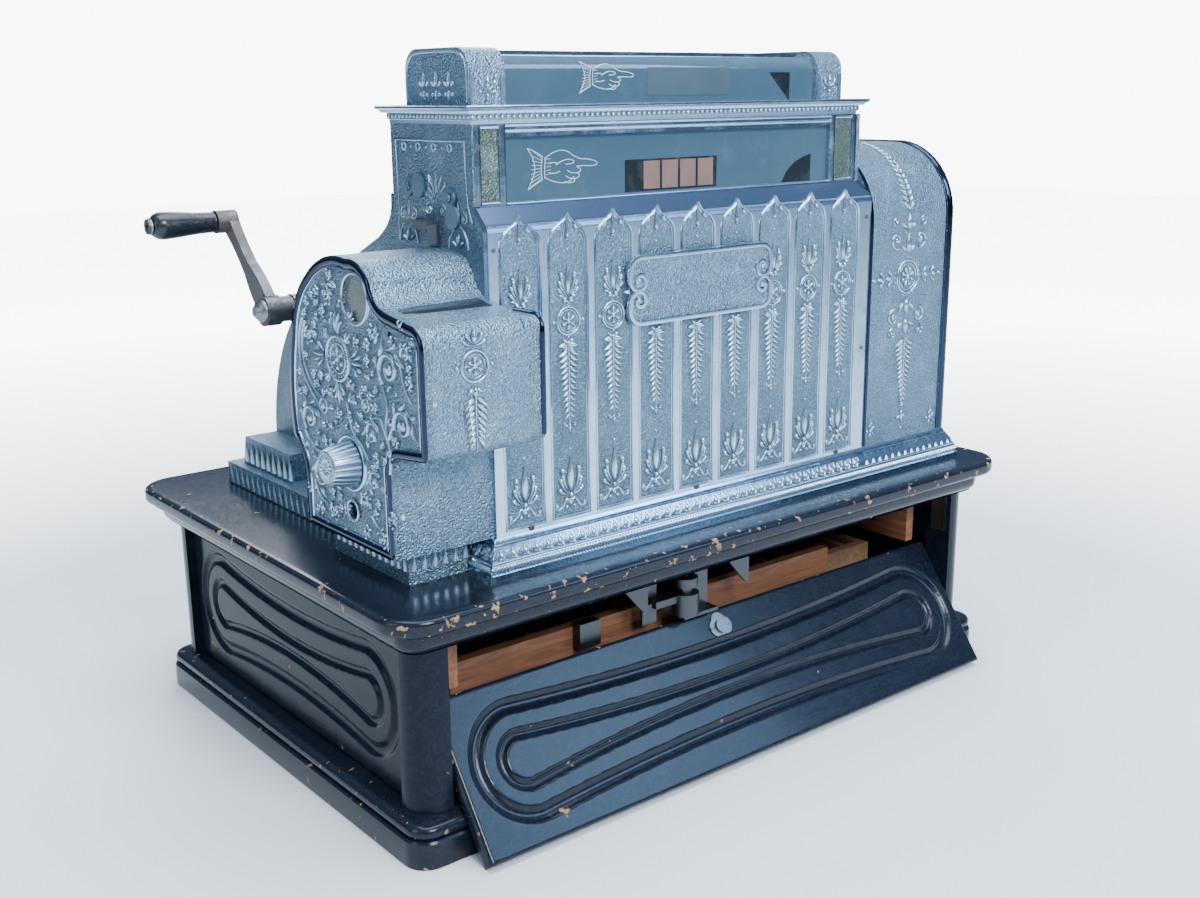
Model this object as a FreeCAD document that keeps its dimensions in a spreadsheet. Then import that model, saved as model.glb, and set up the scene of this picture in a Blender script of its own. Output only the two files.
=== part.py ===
import FreeCAD, Part
import math
import os
import Sketcher

# A crank-worked ticket register: a nickel-plated cabinet on a wooden drawer base.
# Millimetres. +X is to the right along the customer's front, +Y goes away from the customer
# to the clerk's side, +Z is up. The origin is the middle of the base's underside.

Vector = FreeCAD.Vector

# Driving sizes. Each one is set here once, and the sheet of the document holds them all.
SIZES = {
    # wooden base
    "top_width": 700.0,
    "top_depth": 485.0,
    "top_surface": 202.0,
    "nosing_thick": 14.0,
    "nosing_corner": 35.0,
    "nosing_round": 5.0,
    "moulding_thick": 19.0,
    "moulding_inset": 15.0,
    "moulding_cove": 9.0,
    "case_width": 648.0,
    "case_depth": 437.0,
    "post_size": 28.0,
    "post_round": 23.0,
    "plinth_width": 672.0,
    "plinth_depth": 462.0,
    "plinth_height": 37.0,
    "plinth_corner": 20.0,
    "plinth_wall": 40.0,
    "plinth_bevel": 6.0,
    "board_thick": 12.0,
    "side_thick": 14.0,
    "side_recess": 8.0,
    # routed ornament of the wooden panels
    "groove_wide": 10.0,
    "groove_narrow": 7.0,
    "groove_deep": 3.0,
    "loop_margin": 17.0,
    "loop_height": 43.0,
    "loop_waist": 33.0,
    "inner_margin": 39.0,
    "inner_height": 20.0,
    "inner_waist": 7.0,
    # loose front panel, leaning on the plinth
    "panel_gap": 2.0,
    "panel_height": 130.0,
    "panel_thick": 12.0,
    "panel_lean_angle": 36.0,
    "panel_shift": 1.0,
    "lock_drop": 17.0,
    "lock_inset": 2.0,
    "lock_width": 40.0,
    "lock_height": 32.0,
    "lock_thick": 8.0,
    "bolt_width": 16.0,
    "bolt_thick": 3.4,
    "bolt_fit": 0.3,
    "lobe_size": 7.5,
    "barrel_size": 6.0,
    # drawer and what carries it
    "runner_width": 40.0,
    "runner_thick": 6.0,
    "drawer_half": 255.0,
    "drawer_back": -150.0,
    "drawer_rim": 110.0,
    "drawer_wall": 10.0,
    "drawer_gap": 0.4,
    "rail_grip": 12.0,
    "till_bays": 5.0,
    "front_thick": 16.0,
    "front_gap": 1.5,
    "till_rim": 104.0,
    "till_wall": 6.0,
    "liner_inside": 268.0,
    "liner_thick": 10.0,
    "liner_bottom": 117.0,
    "liner_front": -187.0,
    "inner_board_front": -166.0,
    "inner_board_right": 175.0,
    "inner_board_rim": 126.0,
    # ironwork behind the front opening
    "iron_thick": 3.0,
    "pin_size": 3.0,
    "pin_fit": 0.05,
    "catch_across": -35.0,
    "catch_along": -190.0,
    "catch_foot": 118.5,
    "catch_drum": 12.0,
    "catch_drum_tall": 20.0,
    "catch_waist": 6.0,
    "catch_waist_tall": 6.0,
    "catch_head": 11.0,
    "catch_head_tall": 8.0,
    "catch_arm": 36.0,
    "catch_arm_width": 6.0,
    "catch_arm_drop": 1.0,
    "fin_reach": 38.0,
    "fin_tip": 4.0,
    "left_fin_tip": -79.0,
    "right_fin_tip": 41.0,
    "bracket_arm": 20.0,
    "bracket_leg": 40.0,
    "bracket_width": 16.0,
    "bracket_inset": 5.0,
    "stop_across": -140.0,
    "stop_size": 22.0,
    "stop_proud": 4.0,
    "hanger_reach": 42.0,
    "hanger_width": 34.0,
    "hanger_leg": 19.0,
    "hanger_deep": 11.0,
    "hanger_hole_drop": 34.0,
    # nickel-plated cabinet
    "metal_left": -232.0,
    "metal_seam": 188.0,
    "metal_right": 308.0,
    "metal_front": -193.0,
    "metal_plinth_top": 229.6,
    "plinth_lip": 13.0,
    "plinth_slope": 15.0,
    "plinth_slope_run": 12.0,
    "plinth_extra": 1.5,
    "step_width": 31.0,
    "step_height": 20.0,
    "bench_height": 25.0,
    "bench_width": 21.7,
    "bench_long": 92.0,
    "sheet_thick": 6.0,
    "strip_pitch": 44.6,
    "strip_first": -204.2,
    "strip_half": 17.5,
    "strip_foot": 234.5,
    "strip_spring": 456.0,
    "strip_apex": 469.0,
    "strip_count": 9.0,
    "ogee_round": 16.0,
    "knee_rise": 7.0,
    "knee_inset": 3.0,
    "knee_round": 12.0,
    "knee_step": 1.0,
    "strip_deep": 1.5,
    "shoulder_spring": 459.0,
    "shoulder_top": 477.0,
    "name_middle": -23.0,
    "name_width": 161.0,
    "name_height": 56.5,
    "name_centre_up": 405.5,
    "name_thick": 3.0,
    "name_corner": 13.0,
    # indicator housing, cornice and dome
    "house_front": -176.0,
    "house_back": -64.0,
    "house_top": 536.0,
    "post_face": 28.0,
    "window_top": 526.5,
    "window_sill": 3.0,
    "right_post_face": 40.0,
    "frame_thick": 4.0,
    "lid_thick": 3.0,
    "back_face_tall": 56.0,
    "glass_lap": 6.0,
    "glass_thick": 3.0,
    "cornice_lip": 9.0,
    "cornice_thick": 13.0,
    "cornice_under": 5.0,
    "dome_left": -226.0,
    "dome_right": 172.6,
    "dome_front": -165.7,
    "dome_back": -79.8,
    "dome_height": 41.0,
    "dome_round": 16.0,
    "dome_cap_long": 32.0,
    "dome_inset": 2.0,
    "rail_thick": 3.0,
    # clerk's side
    "foot_flare": 30.0,
    "slope_angle": 24.7,
    "lever_axis_along": 4.0,
    "lever_axis_up": 240.0,
    "quadrant": 170.0,
    "cover_inset": 3.0,
    "cover_thick": 4.0,
    "slot_width": 8.0,
    "slot_low_angle": 2.0,
    "slot_high_angle": 62.0,
    "lever_rest_angle": 56.0,
    "lever_count": 4.0,
    "lever_first": -97.0,
    "lever_pitch": 50.0,
    "lever_thick": 4.0,
    "lever_width": 11.0,
    "lever_hub": 9.0,
    "lever_shaft": 5.0,
    "lever_knob": 8.0,
    "lever_proud": 20.0,
    # indicator wheels
    "wheel_axis_along": -120.0,
    "wheel_axis_up": 505.0,
    "wheel_size": 27.0,
    "wheel_width": 17.0,
    "wheel_first": -67.0,
    "wheel_pitch": 20.0,
    "wheel_shaft": 4.0,
    "tablet_left": -58.5,
    "tablet_height": 34.0,
    "tablet_width": 98.0,
    "tablet_thick": 4.0,
    # round-topped housing on the right
    "round_top": 507.0,
    "round_front": 67.0,
    "round_flat_end": 10.0,
    # ticket printer on the left
    "box_outer": -318.6,
    "plate_thick": 5.0,
    "box_front": -189.0,
    "box_back": -59.0,
    "bulge_front": -240.0,
    "bulge_foot": 313.0,
    "bulge_top": 410.0,
    "hump_top": 444.5,
    "swell_foot_drop": 50.0,
    "swell_top_drop": 15.0,
    "swell_round": 44.0,
    "back_inset": 6.0,
    "back_drop": 30.0,
    "back_round": 180.0,
    "nape_inset": 36.0,
    "nape_drop": 16.0,
    "nape_round": 70.0,
    "hump_set": 12.0,
    "hump_round": 74.0,
    "brow_set": 21.0,
    "brow_rise": 14.0,
    "brow_round": 33.0,
    "saddle_step": 2.0,
    "saddle_round": 24.0,
    "nose_drop": 3.0,
    "chin_round": 6.0,
    "chin_inset": 12.0,
    "chin_drop": 4.0,
    "throat_drop": 17.0,
    "throat_round": 14.0,
    "box_back_mid": -43.0,
    "box_shell": 3.0,
    "bulge_end": 15.0,
    "bulge_inset": 1.0,
    "bulge_end_drop": 5.0,
    "bulge_round": 16.0,
    "slot_gap": 8.0,
    "slot_left_inset": 6.0,
    "slot_right_inset": 12.0,
    "slot_along": -199.0,
    "window_along": -151.0,
    "window_up": 417.0,
    "window_size": 16.5,
    "window_rim": 3.0,
    "pane_inset": 1.0,
    "pane_thick": 2.0,
    "knob_along": -132.0,
    "knob_rise": 36.7,
    "knob_size": 18.0,
    "knob_long": 22.0,
    "knob_stem": 7.0,
    "flute_deep": 1.5,
    "flute_count": 20.0,
    "knob_taper": 0.8,
    "bush_rise": 26.2,
    "bush_size": 6.5,
    "bush_rim": 3.0,
    "roller_along": -197.0,
    "roller_up": 396.5,
    "roller_size": 8.0,
    "journal_size": 3.0,
    "journal_inset": 1.0,
    # crank
    "crank_along": -30.0,
    "crank_up": 396.0,
    "crank_shaft": 7.0,
    "sleeve_size": 11.0,
    "sleeve_end": -309.0,
    "flange_size": 17.0,
    "flange_thick": 4.0,
    "hub_size": 12.0,
    "hub_long": 12.5,
    "arm_long": 88.3,
    "arm_thick": 8.0,
    "arm_tilt_angle": 42.8,
    "arm_end": 9.0,
    "nut_size": 7.5,
    "nut_long": 7.0,
    "collar_long": 11.0,
    "shaft_end": 4.0,
    "arm_set_back": 2.5,
    "arm_waist": 6.5,
    "arm_sweep": 90.0,
    "boss_long": 9.0,
    "spindle_cap": 3.0,
    "grip_long": 51.0,
    "grip_size": 10.8,
    "grip_waist": 8.6,
    "grip_shoulder": 8.0,
    "grip_lip": 7.6,
    "spindle_size": 3.5,
    "spindle_head": 6.0,
    # small pieces of the left side face
    "keyhole_disc": 9.0,
    "keyhole_thick": 2.0,
    "stud_size": 2.5,
    "stud_head": 3.6,
    "stud_1_inset": 25.2,
    "stud_1_drop": 47.2,
    "disc_1_inset": 39.8,
    "disc_1_drop": 45.8,
    "stud_2_inset": 29.8,
    "stud_2_drop": 53.3,
    "disc_2_inset": 26.7,
    "disc_2_drop": 67.0,
    "cover_ear": 7.25,
    "side_hole_inset": 14.0,
    "side_hole_drop": 80.0,
    "strap_inset": 47.0,
    "strap_rise": 2.0,
    "strap_wide": 34.0,
    "strap_tall": 18.0,
    "strap_leg": 12.0,
    "strap_arm": 7.0,
    "strap_lip": 12.0,
    "strap_lip_thick": 2.0,
    # bought-in fits
    "run_fit": 0.05,
    "side_play": 0.5,
    "screw_proud": 1.2,
}


class Size(float):
    """A number that remembers the sheet formula it came from."""

    def __new__(cls, value, formula):
        made = super().__new__(cls, value)
        made.formula = formula
        return made

    def __add__(self, other):
        return Size(float(self) + float(other), f"({self.formula} + {formula(other)})")

    def __radd__(self, other):
        return Size(float(other) + float(self), f"({formula(other)} + {self.formula})")

    def __sub__(self, other):
        return Size(float(self) - float(other), f"({self.formula} - {formula(other)})")

    def __rsub__(self, other):
        return Size(float(other) - float(self), f"({formula(other)} - {self.formula})")

    def __mul__(self, other):
        return Size(float(self) * float(other), f"({self.formula} * {formula(other)})")

    def __rmul__(self, other):
        return Size(float(other) * float(self), f"({formula(other)} * {self.formula})")

    def __truediv__(self, other):
        return Size(float(self) / float(other), f"({self.formula} / {formula(other)})")

    def __neg__(self):
        return Size(-float(self), f"(-{self.formula})")


def formula(value):
    """The sheet formula of a size, or the number itself."""
    return value.formula if isinstance(value, Size) else repr(float(value))


def sine(angle):
    return Size(math.sin(math.radians(angle)), f"sin({formula(angle)} * 1deg)")


def cosine(angle):
    return Size(math.cos(math.radians(angle)), f"cos({formula(angle)} * 1deg)")


def tangent(angle):
    return Size(math.tan(math.radians(angle)), f"tan({formula(angle)} * 1deg)")


one = Size(1, "1")
nil = Size(0, "0")


doc = FreeCAD.newDocument("TicketRegister")
sheet = doc.addObject("Spreadsheet::Sheet", "Sizes")


class Sheet:
    """The driving sizes by name, each one tied to its cell."""


S = Sheet()
for row, (alias, number) in enumerate(SIZES.items(), 1):
    sheet.set(f"A{row}", alias)
    sheet.set(f"B{row}", str(number))
    sheet.setAlias(f"B{row}", alias)
    setattr(S, alias, Size(number, f"Sizes.{alias}"))
doc.recompute()

nodes = []


def bind(thing, **values):
    """Ties properties to the sheet. Two underscores in a name stand for a point."""
    for name, value in values.items():
        thing.setExpression(name.replace("__", "."), formula(value))


def place(thing, x=0, y=0, z=0):
    bind(thing, Placement__Base__x=x, Placement__Base__y=y, Placement__Base__z=z)


def tilt(thing, angle):
    """Turns a piece about an axis along X through its own origin."""
    thing.Placement = FreeCAD.Placement(
        Vector(), FreeCAD.Rotation(Vector(1, 0, 0), float(angle)))
    bind(thing, Placement__Rotation__Angle=angle)


def keep(thing, label):
    """Marks a finished sub-part, whose label names its file."""
    thing.Label = label
    nodes.append(thing)
    return thing


# Plain solids

def block(name, x0, x1, y0, y1, z0, z1):
    made = doc.addObject("Part::Box", name)
    bind(made, Length=x1 - x0, Width=y1 - y0, Height=z1 - z0)
    place(made, x0, y0, z0)
    return made


def rod(name, radius, start, end, along=0, up=0):
    """A cylinder whose axis lies along X, at y = along and z = up."""
    made = doc.addObject("Part::Cylinder", name)
    made.Placement = FreeCAD.Placement(Vector(), FreeCAD.Rotation(Vector(0, 1, 0), 90))
    bind(made, Radius=radius, Height=end - start)
    place(made, start, along, up)
    return made


def post(name, radius, low, high, across=0, along=0):
    """A cylinder whose axis is upright."""
    made = doc.addObject("Part::Cylinder", name)
    bind(made, Radius=radius, Height=high - low)
    place(made, across, along, low)
    return made


def joined(name, *pieces):
    made = doc.addObject("Part::MultiFuse", name)
    made.Shapes = list(pieces)
    return made


def without(name, base, *tools):
    made = doc.addObject("Part::Cut", name)
    made.Base = base
    made.Tool = tools[0] if len(tools) == 1 else joined(name + "_tools", *tools)
    return made


def group(name, *pieces):
    made = doc.addObject("Part::Compound", name)
    made.Links = list(pieces)
    return made


# Sketched solids

class Piece:
    """One sub-part made of sketches and features, in the order they are added."""

    def __init__(self, label):
        self.body = doc.addObject("PartDesign::Body", label)
        self.count = 0
        keep(self.body, label)

    def name(self, kind):
        self.count += 1
        return f"{self.body.Name}_{kind}_{self.count}"

    def sketch(self, role, offset=0):
        made = self.body.newObject("Sketcher::SketchObject", self.name("sketch"))
        plane = [part for part in self.body.Origin.OriginFeatures if part.Role == role][0]
        made.AttachmentSupport = (plane, [""])
        made.MapMode = "FlatFace"
        bind(made, AttachmentOffset__Base__z=offset)
        return made

    def plan(self, up=0):
        """A sketch seen from above at height up: across is X, up is Y."""
        return self.sketch("XY_Plane", up)

    def front(self, along=0):
        """A sketch seen from the customer at y = along: across is X, up is Z."""
        return self.sketch("XZ_Plane", -along)

    def side(self, across=0):
        """A sketch seen from the right at x = across: across is Y, up is Z."""
        return self.sketch("YZ_Plane", across)

    def feature(self, kind, sketch, length, reversed_way):
        made = self.body.newObject(f"PartDesign::{kind}", self.name(kind.lower()))
        made.Profile = sketch
        made.Reversed = reversed_way
        bind(made, Length=length)
        self.body.Tip = made
        doc.recompute()
        return made

    def pad(self, sketch, length, reversed_way=False):
        return self.feature("Pad", sketch, length, reversed_way)

    def pocket(self, sketch, length, reversed_way=False):
        """Cuts against the sketch's normal, or along it when reversed, and must cut."""
        before = self.body.Shape.Volume
        made = self.feature("Pocket", sketch, length, reversed_way)
        if self.body.Shape.Volume > before - 0.01:
            raise RuntimeError(f"{made.Name} cuts nothing")
        return made

    def dress(self, kind, edges, **values):
        """Fillets or chamfers the edges of the last feature."""
        base = self.body.Tip
        made = self.body.newObject(f"PartDesign::{kind}", self.name(kind.lower()))
        made.Base = (base, edges)
        if "Size2" in values:
            made.ChamferType = "Two distances"
        bind(made, **values)
        self.body.Tip = made
        doc.recompute()
        return made

    def hollow(self, wall):
        """Leaves a wall inside the outline and takes out both ends."""
        faces = []
        for number, face in enumerate(self.body.Shape.Faces, 1):
            if abs(abs(face.normalAt(0, 0).x) - 1) < 0.001:
                faces.append(f"Face{number}")
        base = self.body.Tip
        made = self.body.newObject("PartDesign::Thickness", self.name("thickness"))
        made.Base = (base, faces)
        made.Reversed = True
        bind(made, Value=wall)
        self.body.Tip = made
        doc.recompute()
        return made


def edges_where(piece, test):
    """Names of the edges whose middle and box pass the test."""
    found = []
    for number, edge in enumerate(piece.body.Shape.Edges, 1):
        if test(edge.BoundBox):
            found.append(f"Edge{number}")
    return found


def level(height):
    """A test for edges that lie at one height."""
    return lambda box: abs(box.ZMin - height) < 0.01 and abs(box.ZMax - height) < 0.01


def arc_between(start, end, radius):
    """The arc from start to end, which turns left where the radius is positive."""
    chord = end - start
    half = chord.Length / 2
    rise = math.sqrt(max(radius * radius - half * half, 0))
    normal = Vector(-chord.y, chord.x, 0).normalize()
    sign = 1 if radius > 0 else -1
    centre = (start + end) * 0.5 + normal * (rise * sign)
    circle = Part.Circle(centre, Vector(0, 0, 1), abs(float(radius)))
    first, last = (start, end) if radius > 0 else (end, start)
    begin = math.atan2(first.y - centre.y, first.x - centre.x)
    stop = math.atan2(last.y - centre.y, last.x - centre.x)
    return Part.ArcOfCircle(circle, begin, stop)


def outline(sketch, corners):
    """Draws one closed loop through the corners, each (across, up) or (across, up, radius).

    With a radius, the side that ends at the corner is an arc of less than half a turn. It
    turns left where the radius is positive and right where it is negative.
    """
    first = sketch.GeometryCount
    shapes = []
    ends = []
    for number, corner in enumerate(corners):
        before = corners[number - 1]
        start = Vector(before[0], before[1], 0)
        end = Vector(corner[0], corner[1], 0)
        if len(corner) == 2:
            shapes.append(Part.LineSegment(start, end))
            ends.append((1, 2))
        else:
            shapes.append(arc_between(start, end, corner[2]))
            ends.append((1, 2) if corner[2] > 0 else (2, 1))
    sketch.addGeometry(shapes, False)
    rules = []
    formulas = []

    def rule(value, *arguments):
        rules.append(Sketcher.Constraint(*arguments))
        formulas.append(value)

    for number, corner in enumerate(corners):
        here = first + number
        after = first + (number + 1) % len(corners)
        follow = ends[(number + 1) % len(corners)][0]
        rule(None, "Coincident", here, ends[number][1], after, follow)
        rule(corner[0], "DistanceX", -1, 1, here, ends[number][1], float(corner[0]))
        rule(corner[1], "DistanceY", -1, 1, here, ends[number][1], float(corner[1]))
        if len(corner) == 3:
            size = corner[2] if corner[2] > 0 else -corner[2]
            rule(size, "Radius", here, float(size))
    add_rules(sketch, rules, formulas)
    return sketch


def add_rules(sketch, rules, formulas):
    """Adds constraints and ties each one that has a size to the sheet."""
    start = sketch.ConstraintCount
    sketch.addConstraint(rules)
    for number, value in enumerate(formulas):
        if value is not None:
            sketch.setExpression(f"Constraints[{start + number}]", formula(value))


def circle(sketch, across, up, radius):
    shape = Part.Circle(Vector(across, up, 0), Vector(0, 0, 1), float(radius))
    number = sketch.addGeometry(shape, False)
    rules = [
        Sketcher.Constraint("DistanceX", -1, 1, number, 3, float(across)),
        Sketcher.Constraint("DistanceY", -1, 1, number, 3, float(up)),
        Sketcher.Constraint("Radius", number, float(radius)),
    ]
    add_rules(sketch, rules, [across, up, radius])
    return sketch


def rectangle(sketch, left, right, low, high):
    return outline(sketch, [(left, low), (right, low), (right, high), (left, high)])


def rounded(sketch, left, right, low, high, radius):
    """A rectangle with round corners."""
    return outline(sketch, [
        (left + radius, low),
        (right - radius, low),
        (right, low + radius, radius),
        (right, high - radius),
        (right - radius, high, radius),
        (left + radius, high),
        (left, high - radius, radius),
        (left, low + radius),
        (left + radius, low, radius),
    ][1:])


def dog_bone(sketch, middle, up, half, height, waist):
    """A long loop with round ends, drawn in at its waist."""
    reach = half - height
    drop = height - waist
    sweep = (reach * reach + drop * drop) / (drop * 2)
    return outline(sketch, [
        (middle - reach, up + height, -sweep),
        (middle - half, up, height),
        (middle - reach, up - height, height),
        (middle + reach, up - height, -sweep),
        (middle + half, up, height),
        (middle + reach, up + height, height),
    ])


def routed_loops(piece, make_sketch, middle, up, half_width, deep, reversed_way):
    """Routs the two loops of a wooden panel, one inside the other."""
    rows = [
        (S.groove_wide, S.loop_margin, S.loop_height, S.loop_waist),
        (S.groove_narrow, S.inner_margin, S.inner_height, S.inner_waist),
    ]
    for width, margin, height, waist in rows:
        sketch = make_sketch()
        half = half_width - margin
        edge = width / 2
        dog_bone(sketch, middle, up, half + edge, height + edge, waist + edge)
        dog_bone(sketch, middle, up, half - edge, height - edge, waist - edge)
        piece.pocket(sketch, deep, reversed_way)


# Heights and faces that several pieces share
case_top = S.top_surface - S.nosing_thick - S.moulding_thick
half_case_width = S.case_width / 2
half_case_depth = S.case_depth / 2
post_inside_x = half_case_width - S.post_size
post_inside_y = half_case_depth - S.post_size
side_outside = half_case_width - S.side_recess
side_inside = side_outside - S.side_thick
plinth_ledge = S.plinth_height - S.plinth_bevel
case_middle_up = (S.plinth_height + case_top) / 2


# Wooden base

def make_plinth():
    piece = Piece("base_plinth")
    sketch = piece.plan()
    half_x = S.plinth_width / 2
    half_y = S.plinth_depth / 2
    rounded(sketch, -half_x, half_x, -half_y, half_y, S.plinth_corner)
    rectangle(sketch, S.plinth_wall - half_x, half_x - S.plinth_wall,
              S.plinth_wall - half_y, half_y - S.plinth_wall)
    piece.pad(sketch, S.plinth_height)
    hole_x = float(half_x - S.plinth_wall) + 1
    hole_y = float(half_y - S.plinth_wall) + 1

    def rim(box):
        across = max(abs(box.XMin), abs(box.XMax))
        along = max(abs(box.YMin), abs(box.YMax))
        return level(float(S.plinth_height))(box) and (across > hole_x or along > hole_y)

    piece.dress("Chamfer", edges_where(piece, rim), Size=S.plinth_bevel)


def make_bottom_board():
    half_x = S.plinth_width / 2 - S.plinth_wall
    half_y = S.plinth_depth / 2 - S.plinth_wall
    keep(block("bottom", -half_x, half_x, -half_y, half_y, nil, S.board_thick),
         "base_bottom_board")


def make_side(label, sign):
    piece = Piece(label)
    outside = side_outside * sign
    inside = side_inside * sign
    sketch = piece.side(inside)
    rectangle(sketch, -post_inside_y, post_inside_y, S.plinth_height, case_top)
    piece.pad(sketch, S.side_thick, sign < 0)
    routed_loops(piece, lambda: piece.side(outside), nil, case_middle_up,
                 post_inside_y, S.groove_deep, sign < 0)


def make_posts():
    """The four corner posts, each square with its outer corner rounded."""
    made = []
    for across in (-1, 1):
        for along in (-1, 1):
            shape = block("post_block", nil, S.post_size, nil,
                          S.post_size, S.plinth_height, case_top)
            corner_x = S.post_size - S.post_round
            tool = block("post_corner", corner_x, S.post_size + 1, corner_x,
                         S.post_size + 1, S.plinth_height - 1, case_top + 1)
            shaft = post("post_shaft", S.post_round, S.plinth_height - 2, case_top + 2,
                         corner_x, corner_x)
            shaved = without("post_corner_cut", tool, shaft)
            solid = without("corner_post", shape, shaved)
            turn = {(1, 1): 0, (-1, 1): 90, (-1, -1): 180, (1, -1): 270}[(across, along)]
            solid.Placement = FreeCAD.Placement(
                Vector(), FreeCAD.Rotation(Vector(0, 0, 1), turn))
            place(solid, post_inside_x * across, post_inside_y * along, 0)
            made.append(solid)
    keep(group("posts", *made), "corner_posts")


def make_top_board():
    """The top: a square-edged nosing over a narrower moulding, with a cove between."""
    piece = Piece("base_top_board")
    half_x = S.top_width / 2
    half_y = S.top_depth / 2
    inset = S.moulding_inset
    nosing_low = S.top_surface - S.nosing_thick
    sketch = piece.plan(case_top)
    rounded(sketch, inset - half_x, half_x - inset, inset - half_y, half_y - inset,
            S.nosing_corner - inset)
    piece.pad(sketch, S.moulding_thick)
    sketch = piece.plan(nosing_low)
    rounded(sketch, -half_x, half_x, -half_y, half_y, S.nosing_corner)
    piece.pad(sketch, S.nosing_thick)
    piece.dress("Fillet", edges_where(piece, level(float(S.top_surface))), Radius=S.nosing_round)
    overhang = float(half_y - inset) + 1

    def nosing_foot(box):
        across = max(abs(box.XMin), abs(box.XMax)) - float(S.top_width - S.top_depth) / 2
        along = max(abs(box.YMin), abs(box.YMax))
        return level(float(nosing_low))(box) and max(across, along) > overhang

    piece.dress("Chamfer", edges_where(piece, nosing_foot), Size=S.nosing_round)
    piece.dress("Chamfer", edges_where(piece, level(float(case_top))), Size=S.moulding_cove)


def make_runners():
    made = []
    for sign in (-1, 1):
        inner = side_inside - S.runner_width
        low, high = (inner, side_inside) if sign > 0 else (-side_inside, -inner)
        made.append(block("runner", low, high, -post_inside_y, post_inside_y,
                          S.plinth_height, S.plinth_height + S.runner_thick))
    keep(group("runners", *made), "drawer_runners")


def make_liners():
    made = []
    outer = S.liner_inside + S.liner_thick
    for sign in (-1, 1):
        low, high = (S.liner_inside, outer) if sign > 0 else (-outer, -S.liner_inside)
        made.append(block("liner", low, high, S.liner_front, post_inside_y,
                          S.liner_bottom, case_top))
    keep(group("liners", *made), "upper_liners")


def make_inner_board():
    left = -(side_inside - S.runner_width)
    keep(block("crossboard", left, S.inner_board_right, S.inner_board_front,
               S.inner_board_front + S.liner_thick, S.board_thick, S.inner_board_rim),
         "inner_board")


# Ironwork behind the front opening

def make_fin(name, tip_across):
    """A thin three-cornered fin that hangs from the underside of the top."""
    made = doc.addObject("Part::Wedge", name)
    bind(made, Xmin=0, Ymin=0, Zmin=0, X2min=S.fin_reach - S.fin_tip, Z2min=0,
         Xmax=S.fin_reach, Ymax=S.fin_reach, Zmax=S.iron_thick,
         X2max=S.fin_reach, Z2max=S.iron_thick)
    made.Placement = FreeCAD.Placement(
        Vector(), FreeCAD.Rotation(Vector(1, 0, 0), -90))
    place(made, tip_across - S.fin_reach, S.catch_along - S.iron_thick / 2, case_top)
    return made


def make_base_irons():
    """Corner brackets, a stop block and two fins, all screwed to the woodwork."""
    made = []
    for sign in (-1, 1):
        face = post_inside_x * sign
        thick = [face, face - S.iron_thick * sign]
        reach = [face, face - S.bracket_arm * sign]
        near = S.bracket_inset - half_case_depth
        far = near + S.bracket_width
        leg = block("bracket_leg", min(thick), max(thick), near, far,
                    case_top - S.bracket_leg, case_top)
        arm = block("bracket_arm", min(reach), max(reach), near, far,
                    case_top - S.iron_thick, case_top)
        made.append(joined("corner_bracket", leg, arm))
    stop_top = S.inner_board_rim + S.stop_proud
    made.append(block("stop_block", S.stop_across, S.stop_across + S.stop_size,
                      S.inner_board_front - S.liner_thick, S.inner_board_front,
                      stop_top - S.stop_size, stop_top))
    made.append(make_fin("left_fin", S.left_fin_tip))
    made.append(make_fin("right_fin", S.right_fin_tip))
    keep(group("irons", *made), "base_irons")


def make_catch():
    """The drawer catch: a waisted roller on an upright pin, with an arm to the left."""
    across = S.catch_across
    along = S.catch_along
    foot = S.catch_foot
    waist = foot + S.catch_drum_tall
    head = waist + S.catch_waist_tall
    top = head + S.catch_head_tall
    drum = post("catch_drum", S.catch_drum, foot, waist, across, along)
    neck = post("catch_neck", S.catch_waist, waist, head, across, along)
    crown = post("catch_crown", S.catch_head, head, top, across, along)
    half = S.catch_arm_width / 2
    arm_top = waist - S.catch_arm_drop
    arm = block("catch_arm", across - S.catch_arm, across, along - half, along + half,
                arm_top - S.catch_arm_width, arm_top)
    bore = post("catch_bore", S.pin_size + S.pin_fit, foot - 1, top + 1, across, along)
    keep(without("catch", joined("catch_solid", drum, neck, crown, arm), bore), "drawer_catch")


def make_catch_bracket():
    """The hanger of the catch: a top plate, two legs behind, a foot and the upright pin."""
    across = S.catch_across
    along = S.catch_along
    low = S.catch_foot - S.side_play - S.iron_thick
    left = across - S.hanger_reach
    right = across + S.hanger_width
    leg_near = along + S.hanger_deep - S.iron_thick
    leg_far = along + S.hanger_deep
    top_plate = block("hanger_plate", left, right, along - S.hanger_deep, leg_far + S.iron_thick,
                      case_top - S.iron_thick, case_top)
    back_plate = block("hanger_back", right - S.hanger_leg, right, leg_near, leg_far,
                       low, case_top)
    foot_plate = block("hanger_foot", across - S.pin_size * 2, right, along - S.pin_size * 2,
                       leg_far, low, low + S.iron_thick)
    left_plate = block("hanger_left", left, left + S.bracket_width, leg_near, leg_far,
                       low, case_top)
    pin = post("hanger_pin", S.pin_size, low, case_top, across, along)
    solid = joined("hanger", top_plate, back_plate, foot_plate, left_plate, pin)
    hole = doc.addObject("Part::Cylinder", "hanger_hole")
    hole.Placement = FreeCAD.Placement(Vector(), FreeCAD.Rotation(Vector(1, 0, 0), 90))
    bind(hole, Radius=S.pin_size, Height=S.iron_thick * 3)
    place(hole, left + S.bracket_width / 2, leg_far + S.iron_thick,
          case_top - S.hanger_hole_drop)
    keep(without("catch_hanger", solid, hole), "catch_bracket")


# The loose front panel and its lock

panel_foot_along = -S.plinth_depth / 2 - plinth_ledge * tangent(S.panel_lean_angle)


def lean(thing):
    """Sets a piece of the panel at the panel's place and slope."""
    tilt(thing, -S.panel_lean_angle)
    place(thing, S.panel_shift, panel_foot_along, 0)


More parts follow.
